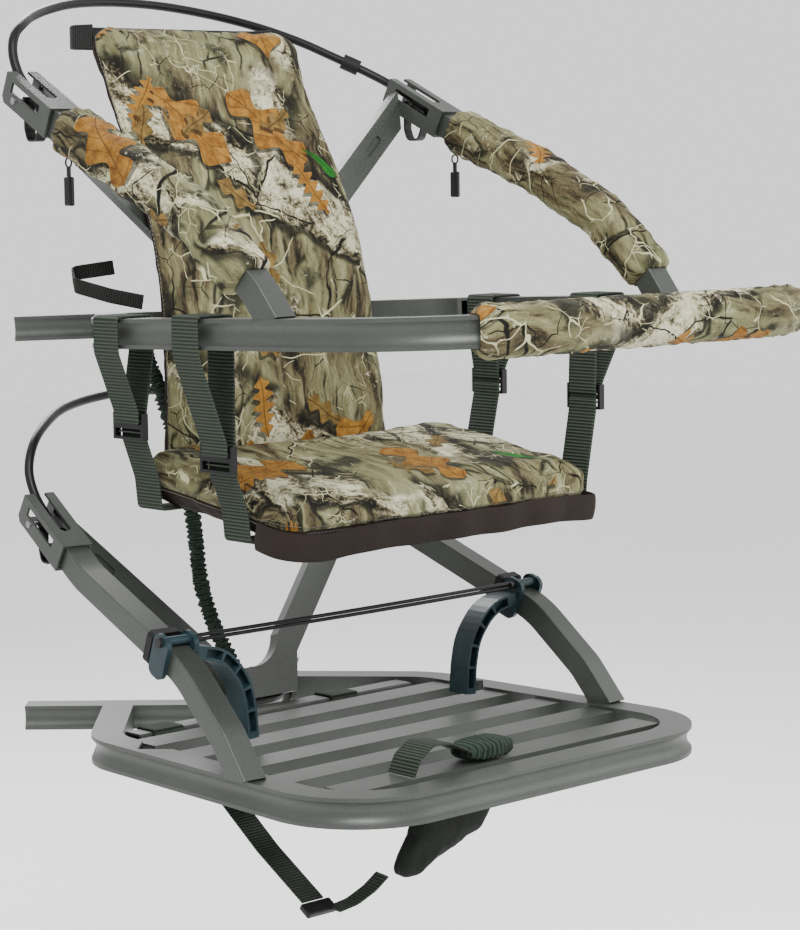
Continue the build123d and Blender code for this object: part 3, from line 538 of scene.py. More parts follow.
        # leaves in several sizes, each with a shadow beside it
        for scale, share, long, wide, lobes, shift, low, high in (
                (6.2, 0.42, 0.056, 0.032, 2.5, 0.00, self.rust, self.straw),
                (9.5, 0.30, 0.034, 0.014, 6.0, 0.37, (0.26, 0.115, 0.020), self.straw),
                (13.0, 0.22, 0.026, 0.013, 2.5, 0.59, (0.10, 0.060, 0.018),
                 (0.34, 0.22, 0.07)),
                (8.0, 0.14, 0.026, 0.009, 0.6, 0.81, self.green, (0.022, 0.26, 0.022))):
            dim, _, _ = self.leaf(p, u0 + 0.0035, v0 + 0.0045, scale, share, long, wide,
                                  lobes, shift)
            base = p.mix(dim * 0.75, base, (0.008, 0.008, 0.006))
            mask, vein, tone = self.leaf(p, u0, v0, scale, share, long, wide,
                                         lobes, shift)
            blotch = p.noise(flat, 75.0, 7.0, 0.7).step(0.35, 0.68)
            hue = p.mix(blotch * 0.8 + tone * 0.2, low, high)
            hue = p.mix(vein * 0.7, hue, tuple(c * 0.30 for c in low))
            base = p.mix(mask, base, hue)
        weave = p.noise(p.coords(), 1500.0, 2.0)
        soft = p.noise(p.coords(), 26.0, 4.0)
        base = p.mix(weave.step(0.5, 0.3) * 0.25, base, self.dark)
        p.bump(weave * 0.6 + soft * 4.0, 0.45, 0.0014)
        base = p.tint(base, (0.66, 0.64, 0.54))
        return p.surface(Base_Color=base, Roughness=0.84, Specular_IOR_Level=0.18)


class Finish(Enum):
    """The finishes of the stand."""

    FRAME = PowderCoat()
    STEEL = CoatedSteel()
    BRIGHT = CoatedSteel("bright_steel", (0.30, 0.30, 0.30), 1.0)
    STIRRUP = Moulded("stirrup_plastic", (0.012, 0.026, 0.031), 0.38)
    BLACK = Moulded("black_plastic", (0.004, 0.004, 0.004), 0.36)
    RUBBER = Moulded("black_rubber", (0.006, 0.006, 0.006), 0.62, 500.0, 0.25)
    CABLE = Moulded("cable_cover", (0.004, 0.004, 0.004), 0.42, 700.0, 0.2)
    WEB = Webbing()
    DARK_WEB = Webbing("dark_webbing", (0.006, 0.006, 0.006), (0.026, 0.026, 0.025),
                       0.0028, 0.0125)
    NYLON = Backing("dark_nylon", (0.0035, 0.005, 0.0035))
    ELASTIC = Webbing("gathered_elastic", (0.010, 0.020, 0.014),
                      (0.036, 0.058, 0.043), 0.0030, 0.10)
    BACKING = Backing()
    WOODLAND = WoodlandPrint()
    THREAD = Moulded("thread", (0.10, 0.095, 0.08), 0.8, 900.0, 0.3)

    def material(self) -> bpy.types.Material:
        """The finish's material, made the first time it is asked for."""
        made = bpy.data.materials.get(_MADE.get(self.name, ""))
        if made is None:
            made = self.value.make()
            _MADE[self.name] = made.name
        return made


_MADE: Dict[str, str] = {}


# ------------------------------------------------------------------ mesh tools
def array(points: Sequence[Sequence[float]]) -> np.ndarray:
    """Points as an array of metres, from millimetres."""
    return np.array(points, float) * MM


def unit(v: np.ndarray) -> np.ndarray:
    """Vector of length one."""
    return v / max(float(np.linalg.norm(v)), 1e-12)


def bent(points: np.ndarray, radii: Sequence[float], step: float = 0.004) -> np.ndarray:
    """Strap route: straight runs with an arc of its own radius at each corner.

    Args:
        points: Corner points in metres.
        radii: One radius for each inner corner, in metres.
        step: Spacing of the result's points.

    Returns:
        Closely spaced points along the route.
    """
    out: List[np.ndarray] = [points[0]]
    for i in range(1, len(points) - 1):
        a, b, c = points[i - 1], points[i], points[i + 1]
        u, w = unit(a - b), unit(c - b)
        half = 0.5 * (math.pi - math.acos(float(np.clip(u @ w, -1, 1))))
        cut = min(radii[i - 1] * math.tan(half),
                  0.48 * min(np.linalg.norm(a - b), np.linalg.norm(c - b)))
        r = cut / math.tan(half)
        mid = b + unit(u + w) * (r / math.cos(half))
        s, e = b + u * cut, b + w * cut
        n = max(3, int(half * 2 / 0.16))
        x = unit(s - mid)
        y = unit((e - mid) - x * ((e - mid) @ x))
        for k in range(n + 1):
            t = 2 * half * k / n
            out.append(mid + (x * math.cos(t) + y * math.sin(t)) * r)
    out.append(points[-1])
    dense: List[np.ndarray] = [out[0]]
    for a, b in zip(out, out[1:]):
        n = max(1, int(round(float(np.linalg.norm(b - a)) / step)))
        dense += [a + (b - a) * (k / n) for k in range(1, n + 1)]
    return np.array(dense)


def lengths(path: np.ndarray) -> np.ndarray:
    """Distance along a path at each of its points."""
    return np.concatenate([[0], np.cumsum(np.linalg.norm(np.diff(path, axis=0), axis=1))])


def tangents(path: np.ndarray) -> np.ndarray:
    """Unit direction of a path at each of its points."""
    t = np.gradient(path, axis=0)
    return t / np.maximum(np.linalg.norm(t, axis=1, keepdims=True), 1e-12)


def make_object(name: str, verts: np.ndarray, faces: Sequence[Sequence[int]],
                uv: Optional[np.ndarray], finish: Finish,
                smooth: bool = True) -> bpy.types.Object:
    """Turns arrays into an object at the origin.

    Args:
        name: Name of the piece.
        verts: Vertex places in metres.
        faces: Vertex numbers of each face.
        uv: Flat coordinates of each vertex in metres, or None.
        finish: What it is made of.
        smooth: Whether its faces are shaded smooth.

    Returns:
        The object.
    """
    mesh = bpy.data.meshes.new(name)
    mesh.from_pydata([tuple(v) for v in verts], [], [tuple(f) for f in faces])
    mesh.update()
    if uv is not None:
        set_uv(mesh, uv)
    if smooth:
        mesh.polygons.foreach_set("use_smooth", [True] * len(mesh.polygons))
    obj = bpy.data.objects.new(name, mesh)
    bpy.context.scene.collection.objects.link(obj)
    mesh.materials.append(finish.material())
    return obj


def set_uv(mesh: bpy.types.Mesh, uv: np.ndarray) -> None:
    """Writes per-vertex flat coordinates to the mesh's own UV map."""
    layer = mesh.uv_layers.new(name="UVMap")
    loops = np.empty(len(mesh.loops), int)
    mesh.loops.foreach_get("vertex_index", loops)
    layer.data.foreach_set("uv", uv[loops].astype(np.float32).ravel())


def loft(name: str, rings: np.ndarray, uv: Optional[np.ndarray], finish: Finish,
         closed: bool = False) -> bpy.types.Object:
    """Skin over closed rings of equal count, with flat ends unless closed.

    Args:
        name: Name of the piece.
        rings: Array of shape (rings, points, 3).
        uv: Array of shape (rings, points, 2), or None.
        finish: What it is made of.
        closed: Whether the last ring joins the first.

    Returns:
        The object, with its faces pointing outwards.
    """
    n, m = rings.shape[:2]
    faces: List[Sequence[int]] = []
    for i in range(n if closed else n - 1):
        j = (i + 1) % n
        for k in range(m):
            q = (k + 1) % m
            faces.append((i * m + k, i * m + q, j * m + q, j * m + k))
    if not closed:
        faces.append(tuple(range(m))[::-1])
        faces.append(tuple((n - 1) * m + k for k in range(m)))
    obj = make_object(name, rings.reshape(-1, 3), faces,
                      None if uv is None else uv.reshape(-1, 2), finish)
    bm = bmesh.new()
    bm.from_mesh(obj.data)
    bmesh.ops.recalc_face_normals(bm, faces=bm.faces)
    bm.to_mesh(obj.data)
    bm.free()
    return obj


def plain_copy(obj: bpy.types.Object, name: str) -> bpy.types.Object:
    """Evaluated copy of an object as a plain mesh; the original is removed."""
    graph = bpy.context.evaluated_depsgraph_get()
    mesh = bpy.data.meshes.new_from_object(obj.evaluated_get(graph))
    made = bpy.data.objects.new(name, mesh)
    bpy.context.scene.collection.objects.link(made)
    bpy.data.objects.remove(obj, do_unlink=True)
    return made


class Route:
    """Smooth line through given control points, in metres."""

    def __init__(self, name: str, points: Sequence[Point]) -> None:
        """Makes the spline.

        Args:
            name: Name of the curve object.
            points: Control points in millimetres.
        """
        data = bpy.data.curves.new(name, "CURVE")
        data.dimensions = "3D"
        spline = data.splines.new("NURBS")
        spline.points.add(len(points) - 1)
        for p, q in zip(spline.points, points):
            p.co = (q[0] * MM, q[1] * MM, q[2] * MM, 1.0)
        spline.order_u = 3
        spline.use_endpoint_u = True
        data.resolution_u = 16
        self.obj = bpy.data.objects.new(name, data)
        bpy.context.scene.collection.objects.link(self.obj)

    def line(self) -> np.ndarray:
        """Points along the spline."""
        graph = bpy.context.evaluated_depsgraph_get()
        mesh = bpy.data.meshes.new_from_object(self.obj.evaluated_get(graph))
        co = np.array([v.co[:] for v in mesh.vertices], float)
        bpy.data.meshes.remove(mesh)
        return co

    def bead(self, radius: float, finish: Finish) -> bpy.types.Object:
        """Gives the spline a round body."""
        self.obj.data.bevel_depth = radius
        self.obj.data.bevel_resolution = 6
        self.obj.data.use_fill_caps = True
        self.obj.data.materials.append(finish.material())
        return self.obj


def cord_length(line: np.ndarray) -> float:
    """Length of a line of points."""
    return float(lengths(line)[-1])


def ribbon(name: str, path: np.ndarray, across: Sequence[float], width: float,
           thick: float, finish: Finish, crown: float = 0.0,
           shift: float = 0.0) -> bpy.types.Object:
    """Flat strap along a path.

    Args:
        name: Name of the piece.
        path: Points along its middle, in metres.
        across: Direction of its width.
        width: Its width.
        thick: Its thickness.
        finish: What it is woven from.
        crown: How far its middle stands proud of its edges.
        shift: Offset of the weave along it.

    Returns:
        The object.
    """
    t = tangents(path)
    side = np.tile(unit(np.array(across, float)), (len(path), 1))
    side = side - t * (side * t).sum(1, keepdims=True)
    side /= np.linalg.norm(side, axis=1, keepdims=True)
    up = np.cross(t, side)
    h, e = width / 2, thick / 2
    prof = [(-h, 0), (-h + e * 0.4, e * 0.85), (-h + e * 1.6, e), (-h * 0.5, e),
            (0, e), (h * 0.5, e), (h - e * 1.6, e), (h - e * 0.4, e * 0.85), (h, 0),
            (h - e * 0.4, -e * 0.85), (h - e * 1.6, -e), (h * 0.5, -e), (0, -e),
            (-h * 0.5, -e), (-h + e * 1.6, -e), (-h + e * 0.4, -e * 0.85)]
    rings, uv = [], []
    dist = lengths(path)
    for i, p in enumerate(path):
        ring, flat = [], []
        for a, b in prof:
            lift = crown * (1 - (a / h) ** 2)
            ring.append(p + side[i] * a + up[i] * (b + lift))
            flat.append((a, dist[i] + shift))
        rings.append(ring)
        uv.append(flat)
    return loft(name, np.array(rings), np.array(uv), finish)


class StitchTree:
    """Geometry node tree that lays small dashes along a curve."""

    def __init__(self) -> None:
        """Builds the tree with its named inputs."""
        tree = bpy.data.node_groups.new("stitch_row", "GeometryNodeTree")
        face = tree.interface
        face.new_socket("Geometry", in_out="OUTPUT", socket_type="NodeSocketGeometry")
        face.new_socket("Geometry", in_out="INPUT", socket_type="NodeSocketGeometry")
        self.ids: Dict[str, str] = {}
        for label, value in (("Spacing", 0.004), ("Dash length", 0.0028),
                             ("Dash width", 0.0007), ("Dash height", 0.0007)):
            s = face.new_socket(label, in_out="INPUT", socket_type="NodeSocketFloat")
            s.default_value = value
            self.ids[label] = s.identifier
        s = face.new_socket("Finish", in_out="INPUT", socket_type="NodeSocketMaterial")
        self.ids["Finish"] = s.identifier
        n, link = tree.nodes, tree.links
        gin, gout = n.new("NodeGroupInput"), n.new("NodeGroupOutput")
        even = n.new("GeometryNodeResampleCurve")
        even.mode = "LENGTH"
        link.new(gin.outputs["Geometry"], even.inputs["Curve"])
        link.new(gin.outputs["Spacing"], even.inputs["Length"])
        size = n.new("ShaderNodeCombineXYZ")
        for k, label in enumerate(("Dash length", "Dash width", "Dash height")):
            link.new(gin.outputs[label], size.inputs[k])
        dash = n.new("GeometryNodeMeshCube")
        link.new(size.outputs[0], dash.inputs["Size"])
        way = n.new("GeometryNodeInputTangent")
        turn = n.new("FunctionNodeAlignRotationToVector")
        turn.axis = "X"
        link.new(way.outputs[0], turn.inputs["Vector"])
        put = n.new("GeometryNodeInstanceOnPoints")
        link.new(even.outputs[0], put.inputs["Points"])
        link.new(dash.outputs["Mesh"], put.inputs["Instance"])
        link.new(turn.outputs[0], put.inputs["Rotation"])
        real = n.new("GeometryNodeRealizeInstances")
        link.new(put.outputs[0], real.inputs[0])
        paint = n.new("GeometryNodeSetMaterial")
        link.new(real.outputs[0], paint.inputs["Geometry"])
        link.new(gin.outputs["Finish"], paint.inputs["Material"])
        link.new(paint.outputs[0], gout.inputs[0])
        self.tree = tree

    def row(self, name: str, paths: Sequence[np.ndarray], finish: Finish,
            spacing: float = 0.0042, size: Point = (0.0028, 0.0008, 0.0008)
            ) -> bpy.types.Object:
        """One piece holding the dashes of several rows.

        Args:
            name: Name of the piece.
            paths: The rows' points in metres.
            finish: What the dashes are made of.
            spacing: Distance from dash to dash.
            size: Length, width and height of a dash.

        Returns:
            The plain mesh object.
        """
        data = bpy.data.curves.new(name + "_line", "CURVE")
        data.dimensions = "3D"
        for path in paths:
            spline = data.splines.new("POLY")
            spline.points.add(len(path) - 1)
            for p, q in zip(spline.points, path):
                p.co = (*q, 1.0)
        obj = bpy.data.objects.new(name + "_line", data)
        bpy.context.scene.collection.objects.link(obj)
        mod = obj.modifiers.new("stitch_row", "NODES")
        mod.node_group = self.tree
        for label, value in (("Spacing", spacing), ("Dash length", size[0]),
                             ("Dash width", size[1]), ("Dash height", size[2]),
                             ("Finish", finish.material())):
            mod[self.ids[label]] = value
        return plain_copy(obj, name)


def stand_in(obj: bpy.types.Object, slot: str, *nodes: str,
             body: Optional[str] = None) -> bpy.types.Object:
    """Lets a piece take the place of CAD nodes and move with their body.

    Args:
        obj: The piece.
        slot: The record's material slot; not used.
        nodes: The nodes it stands for.
        body: The body it rides on, where that is not the first node's.

    Returns:
        The same piece.
    """
    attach(obj, body or body_of(frame["nodes"][nodes[0]])[0])
    if nodes:
        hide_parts(*nodes)
    return obj


# ------------------------------------------------------------------ surroundings
@dataclass
class Studio:
    """Camera, soft lights and a pale floor."""

    target: Point = (0.0, -0.244, 0.267)
    turn: float = -43.3746
    rise: float = 6.3848
    roll: float = -0.6809
    away: float = 2.63056
    lens: float = 102.86
    floor: float = -0.62

    def build(self) -> None:
        """Makes the camera, the lights, the floor and the sky."""
        a, e = math.radians(self.turn), math.radians(self.rise)
        back = Vector((math.sin(a) * math.cos(e), -math.cos(a) * math.cos(e), math.sin(e)))
        data = bpy.data.cameras.new("camera")
        data.lens = self.lens
        data.sensor_width = 36.0
        cam = bpy.data.objects.new("camera", data)
        bpy.context.scene.collection.objects.link(cam)
        turn = back.to_track_quat("Z", "Y").to_matrix().to_4x4()
        place = Matrix.Translation(Vector(self.target) + back * self.away)
        cam.matrix_world = place @ turn @ Matrix.Rotation(math.radians(self.roll), 4, "Z")
        bpy.context.scene.camera = cam
        world = bpy.data.worlds.new("studio")
        world.use_nodes = True
        world.node_tree.nodes["Background"].inputs[0].default_value = (1.0, 1.0, 1.0, 1.0)
        world.node_tree.nodes["Background"].inputs[1].default_value = 1.25
        bpy.context.scene.world = world
        self.lamp("key", (-1.5, -2.2, 2.6), 1.3, 150.0)
        self.lamp("fill", (1.9, -1.9, 1.0), 2.0, 34.0)
        self.lamp("back_light", (0.8, 2.1, 2.0), 1.4, 80.0)
        me = bpy.data.meshes.new("floor")
        s = 9.0
        me.from_pydata([(-s, -s, self.floor), (s, -s, self.floor), (s, s, self.floor),
                        (-s, s, self.floor)], [], [(0, 1, 2, 3)])
        floor = bpy.data.objects.new("floor", me)
        bpy.context.scene.collection.objects.link(floor)
        p = Paint("floor_paint")
        cloud = p.noise(p.coords(), 2.0, 3.0)
        me.materials.append(p.surface(
            Base_Color=p.mix(cloud, (0.93, 0.93, 0.93), (0.96, 0.96, 0.96)),
            Roughness=0.9))

    def lamp(self, name: str, at: Point, size: float, power: float) -> None:
        """Adds one square light that looks at the middle of the stand.

        Args:
            name: Name of the light.
            at: Where it is, in metres.
            size: Its width in metres.
            power: Its power in watts.
        """
        data = bpy.data.lights.new(name, "AREA")
        data.size = size
        data.energy = power
        lamp = bpy.data.objects.new(name, data)
        bpy.context.scene.collection.objects.link(lamp)
        way = Vector(at) - Vector(self.target)
        turn = way.to_track_quat("Z", "Y").to_matrix().to_4x4()
        lamp.matrix_world = Matrix.Translation(at) @ turn


# ------------------------------------------------------------------ cords
@dataclass
class Cables:
    """The two trunk cables and the doubled stirrup bungee."""

    thick: float = 0.0095
    climber: Sequence[Point] = (
        (-256.7, -5.6, 633.2), (-254.95, 18.55, 645.1), (-256, 33, 672),
        (-249, 40, 694), (-230, 50, 706), (-200, 78, 715), (-160, 107, 724.5),
        (-110, 129, 734), (-50, 140, 738), (15, 142, 736.5), (80, 136, 728.5),
        (135, 120, 716), (178, 97, 699.5), (205, 76, 683.5), (237, 49, 664.5),
        (254.95, 18.55, 645.1), (256.7, -5.6, 633.2))
    platform: Sequence[Point] = (
        (-218.6, 41.5, 207.4), (-216.7, 64.2, 221.9), (-217, 80, 250),
        (-210, 87, 270), (-194, 98, 287), (-165, 119, 299), (-125, 148, 309),
        (-75, 168, 315), (-20, 176, 319), (35, 175, 317.5), (90, 162, 312),
        (138, 140, 303), (175, 115, 291), (198, 98, 274), (212, 85, 253),
        (216.7, 64.2, 221.9), (218.6, 41.5, 207.4))

    def build(self) -> None:
        for name, points, length in (("climber_cable", self.climber, 0.703),
                                     ("platform_cable", self.platform, 0.640)):
            route = Route(name + "_cover", points)
            line = route.line()
            LOG.info("%s centreline %.4f m", name, cord_length(line))
            obj = route.bead(self.thick / 2, Finish.CABLE)
            stand_in(obj, "cable", name)
        for k, z in enumerate((112.95, 117.25)):
            route = Route(f"bungee_cord_{k}", [
                (-215.75, -185.8, z), (-110, -185.8, z - 0.7), (0, -185.8, z - 1.1),
                (110, -185.8, z - 0.7), (215.75, -185.8, z)])
            obj = route.bead(0.002, Finish.CABLE)
            if k == 0:
                stand_in(obj, "rubber", "stirrup_bungee")
            else:
                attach(obj, "foot_platform")


@dataclass
class Tether:
    """Ruffled elastic tube that keeps the two halves together."""

    points: Sequence[Point] = (
        (-100, 34, 374), (-92, 22, 340), (-82, 8, 285), (-75, -3, 235),
        (-72.6, -10, 183), (-71, -16, 126), (-58, -22, 83), (-38, -29, 40),
        (-26, -31, 14))
    thick: float = 0.014
    length: float = 0.378
    pitch: float = 0.0062
    sides: int = 24

    def build(self) -> None:
        """Makes the tube, which stretches as the halves part."""
        route = Route("tether_line", self.points)
        line = route.line()
        bpy.data.objects.remove(route.obj, do_unlink=True)
        dist = lengths(line)
        total = float(dist[-1])
        at = np.arange(0, total, 0.00085)
        path = np.stack([np.interp(at, dist, line[:, k]) for k in range(3)], 1)
        t = tangents(path)
        side = unit(np.cross(t[0], (0.0, 1.0, 0.0)))
        rings, uv = [], []
        for i, p in enumerate(path):
            side = unit(side - t[i] * (side @ t[i]))
            up = np.cross(t[i], side)
            ring, flat = [], []
            for k in range(self.sides):
                a = 2 * math.pi * k / self.sides
                wob = noise.noise((math.cos(a) * 1.2, math.sin(a) * 1.2, at[i] * 60.0))
                ph = at[i] / self.pitch + wob * 0.9
                r = 0.0072 + 0.0016 * math.sin(2 * math.pi * ph) \
                    + 0.0011 * noise.noise((math.cos(a) * 2, math.sin(a) * 2, at[i] * 170))
                r = min(max(r, 0.0054), 0.0096)
                ring.append(p + side * (math.cos(a) * r) + up * (math.sin(a) * r))
                flat.append((a * 0.0075, at[i]))
            rings.append(ring)
            uv.append(flat)
        obj = loft("tether_sleeve", np.array(rings), np.array(uv), Finish.ELASTIC)
        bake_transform(obj, "foot_platform", "seat_climber", start=(-0.030, -0.031, 0.020),
                 end=(-0.098, 0.031, 0.366))
        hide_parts("tether")
        LOG.info("tether centreline %.4f m", total)


# ------------------------------------------------------------------ soft shapes
class Pad:
    """Stuffed pad: a flat outline with rounded edges, blown up as cloth.

    It is shaped lying flat, its face upwards at height 0, and then laid in place.
    """

    def __init__(self, name: str, outline: np.ndarray, thick: float, edge: float,
                 seam: float, swell: float = 0.006) -> None:
        """Keeps the sizes.

        Args:
            name: Name of the piece.
            outline: Closed outline, anticlockwise, in metres.
            thick: Thickness.
            edge: Radius of its rounded rims.
            seam: Depth of the sewn seam below the face.
            swell: How far a point may move.
        """
        self.name, self.outline, self.thick = name, outline, thick
        self.edge, self.seam, self.swell = edge, seam, swell

    def inset(self, by: float) -> np.ndarray:
        """The outline moved inwards."""
        p = self.outline
        t = np.roll(p, -1, 0) - np.roll(p, 1, 0)
        t /= np.maximum(np.linalg.norm(t, axis=1, keepdims=True), 1e-12)
        return p + np.stack([-t[:, 1], t[:, 0]], 1) * by

    def start(self, shrink: float) -> bpy.types.Object:
        """The stiff shape that the cloth starts from."""
        r, rings = self.edge, []
        for k in range(7):
            a = math.pi / 2 * k / 6
            flat = self.inset(shrink + r * (1 - math.sin(a)))
            rings.append(np.c_[flat, np.full(len(flat), -shrink - r * (1 - math.cos(a)))])
        for k in range(6, -1, -1):
            a = math.pi / 2 * k / 6
            flat = self.inset(shrink + r * (1 - math.sin(a)))
            z = -self.thick + shrink + r * (1 - math.cos(a))
            rings.append(np.c_[flat, np.full(len(flat), z)])
        obj = loft(self.name + "_start", np.array(rings), None, Finish.WOODLAND)
        remesh = obj.modifiers.new("remesh", "REMESH")
        remesh.mode = "VOXEL"
        remesh.voxel_size = 0.0052
        return plain_copy(obj, self.name + "_cloth")

    def blow(self, obj: bpy.types.Object) -> bpy.types.Object:
        """Blows the cloth up for twenty frames, its seam held."""
        rest = np.array([v.co[:] for v in obj.data.vertices], float)
        held = obj.vertex_groups.new(name="seam")
        near = [int(i) for i in np.where(np.abs(rest[:, 2] + self.seam) < 0.0032)[0]
                if self.rim(rest[i, :2])]
        held.add(near, 1.0, "ADD")
        mod = obj.modifiers.new("cloth", "CLOTH")
        cfg = mod.settings
        cfg.effector_weights.gravity = 0.0
        cfg.use_pressure = True
        cfg.uniform_pressure_force = 4.0
        cfg.quality = 4
        cfg.mass = 0.25
        cfg.tension_stiffness = 12
        cfg.compression_stiffness = 12
        cfg.bending_stiffness = 0.35
        cfg.shrink_min = -0.015
        cfg.vertex_group_mass = "seam"
        mod.collision_settings.use_collision = False
        mod.point_cache.frame_start, mod.point_cache.frame_end = 1, 20
        for f in range(1, 21):
            bpy.context.scene.frame_set(f)
        obj = plain_copy(obj, self.name + "_blown")
        bpy.context.scene.frame_set(1)
        now = np.array([v.co[:] for v in obj.data.vertices], float)
        move = now - rest
        size = np.linalg.norm(move, axis=1, keepdims=True)
        move *= np.minimum(1.0, self.swell / np.maximum(size, 1e-9))
        obj.data.vertices.foreach_set("co", (rest + move).astype(np.float32).ravel())
        sub = obj.modifiers.new("subdivision", "SUBSURF")
        sub.levels = sub.render_levels = 1
        return plain_copy(obj, self.name)

    def rim(self, at: np.ndarray) -> bool:
        """Whether a point is near the outline."""
        return float(np.min(np.linalg.norm(self.outline - at, axis=1))) < 0.010


def rounded_outline(corners: Sequence[Tuple[float, float]], radii: Sequence[float],
                    step: float = 0.004) -> np.ndarray:
    """Closed outline with a rounded corner at each point, anticlockwise.

    Args:
        corners: Corner points in millimetres.
        radii: Radius of each corner in millimetres.
        step: Spacing of the result in metres.

    Returns:
        Points in metres, the first not repeated.
    """
    c = [np.array((x, y, 0.0)) * MM for x, y in corners]
    mid = (c[0] + c[-1]) / 2
    path = bent(np.array([mid] + c + [mid]), [r * MM for r in radii], step)[:-1, :2]
    area = 0.5 * float(np.sum(path[:, 0] * np.roll(path[:, 1], -1)
                              - path[:, 1] * np.roll(path[:, 0], -1)))
    return path if area > 0 else path[::-1]


def wrinkle(p: np.ndarray, along: float, across: float, depth: float,
            seed: float) -> float:
    """Height of a soft crease at a point.

    Args:
        p: The point, in metres.
        along: Crease length to the metre.
        across: Creases to the metre.
        depth: Greatest depth.
        seed: Number that tells one set of creases from another.

    Returns:
        The height.
    """
    n = noise.noise((p[0] * along + seed, p[1] * across, p[2] * across + seed))
    return depth * (1.0 - 2.0 * abs(n) ** 0.6)


@dataclass
class Cushions:
    """Seat and back cushions, printed on their faces and brown beneath."""

    half: float = 0.208
    deep: float = 0.236
    seat_thick: float = 0.050
    slope: float = 8.6
    hinge: Tuple[float, float] = (-0.088, 0.291)
    back_thick: float = 0.030
    spine: Sequence[Tuple[float, float]] = (
        (-62, 252), (-60, 330), (-50, 425), (-32, 500), (-5, 558), (37, 632), (66, 697))
    halves: Sequence[Tuple[float, float]] = (
        (200, 153), (330, 150), (420, 144), (520, 142), (560, 140), (640, 137), (760, 139))

    def seat_place(self, q: np.ndarray) -> np.ndarray:
        """Flat points to their place on the sloping seat."""
        a = math.radians(self.slope)
        y, z = q[:, 1], q[:, 2]
        return np.stack([q[:, 0], self.hinge[0] + y * math.cos(a) - z * math.sin(a),
                         self.hinge[1] + y * math.sin(a) + z * math.cos(a)], 1)

    def back_place(self, q: np.ndarray) -> np.ndarray:
        """Flat points to their place on the bent backrest."""
        path = bent(np.array([(0, y, z) for y, z in self.spine], float) * MM,
                    [0.25] * (len(self.spine) - 2), 0.006)
        dist = lengths(path)
        t = tangents(path)
        s = np.clip(q[:, 1], dist[0], dist[-1])
        over = q[:, 1] - s
        at = np.stack([np.interp(s, dist, path[:, k]) for k in range(3)], 1)
        way = np.stack([np.interp(s, dist, t[:, k]) for k in range(3)], 1)
        way /= np.linalg.norm(way, axis=1, keepdims=True)
        front = np.cross(np.tile((1.0, 0.0, 0.0), (len(q), 1)), way)
        out = at + way * over[:, None] + front * (q[:, 2] + self.back_thick / 2)[:, None]
        out[:, 0] += q[:, 0]
        z0, z1, y0, y1 = 0.400, 0.562, -0.023, -0.0054
        limit = y0 + (out[:, 2] - z0) * (y1 - y0) / (z1 - z0)
        near = np.clip(1 - np.maximum(z0 - out[:, 2], out[:, 2] - z1) / 0.014, 0, 1)
        pressed = np.minimum(out[:, 1], limit + (1 - near) * 0.03)
        out[:, 1] = np.where(near > 0, pressed, out[:, 1])
        return out

    def dress(self, obj: bpy.types.Object, pad: Pad, place: object, brown: float,
              depth: float) -> bpy.types.Object:
        """Creases a flat pad, maps its cloth and lays it in place.

        Args:
            obj: The blown pad, lying flat.
            pad: Its sizes.
            place: Function that takes flat points to their place.
            brown: Depth below the face where the brown cloth starts.
            depth: Depth of its creases.

        Returns:
            The finished piece.
        """
        mesh = obj.data
        co = np.array([v.co[:] for v in mesh.vertices], float)
        nor = np.array([v.normal[:] for v in mesh.vertices], float)
        rim = pad.outline
        gap = np.array([np.min(np.linalg.norm(rim - q[:2], axis=1)) for q in co])
        top = np.clip((co[:, 2] + pad.thick * 0.5) / (pad.thick * 0.4), 0, 1)
        for i, q in enumerate(co):
            edge = max(0.0, 1.0 - gap[i] / 0.055)
            h = wrinkle(q, 9.0, 26.0, depth * (0.25 + 0.9 * edge), 3.1) * top[i]
            h += wrinkle(q[[1, 0, 2]], 14.0, 60.0, depth * 0.55 * edge, 7.7)
            h -= 0.0022 * math.exp(-((q[2] + pad.seam) / 0.0022) ** 2) * (gap[i] < 0.014)
            co[i] += nor[i] * h
        below = -co[:, 2]
        uv = np.stack([co[:, 0] + nor[:, 0] * below, co[:, 1] + nor[:, 1] * below], 1)
        mesh.vertices.foreach_set("co", place(co).astype(np.float32).ravel())
        for layer in list(mesh.uv_layers):
            mesh.uv_layers.remove(layer)
        set_uv(mesh, uv)
        mesh.materials.clear()
        mesh.materials.append(Finish.WOODLAND.material())
        mesh.materials.append(Finish.BACKING.material())
        for face in mesh.polygons:
            z = sum(co[v][2] for v in face.vertices) / len(face.vertices)
            face.material_index = 1 if z < -brown else 0
        mesh.polygons.foreach_set("use_smooth", [True] * len(mesh.polygons))
        mesh.update()
        return obj

    def seam_rows(self, name: str, pad: Pad, place: object, obj: bpy.types.Object,
                  depths: Sequence[float], stitches: StitchTree) -> bpy.types.Object:
        """Stitches laid on the pad's own surface round its rim."""
        bm = bmesh.new()
        bm.from_mesh(obj.data)
        tree = BVHTree.FromBMesh(bm)
        rows = []
        for d in depths:
            out = pad.inset(-0.002)
            loop = np.r_[out, out[:1]]
            flat = np.c_[loop, np.full(len(loop), -d)]
            line = []
            for q in place(flat):
                hit, way, _, _ = tree.find_nearest(Vector(q))
                line.append(np.array(hit) + np.array(way) * 0.0002)
            rows.append(np.array(line))
        bm.free()
        return stitches.row(name, rows, Finish.THREAD, 0.0045, (0.0031, 0.0009, 0.0007))

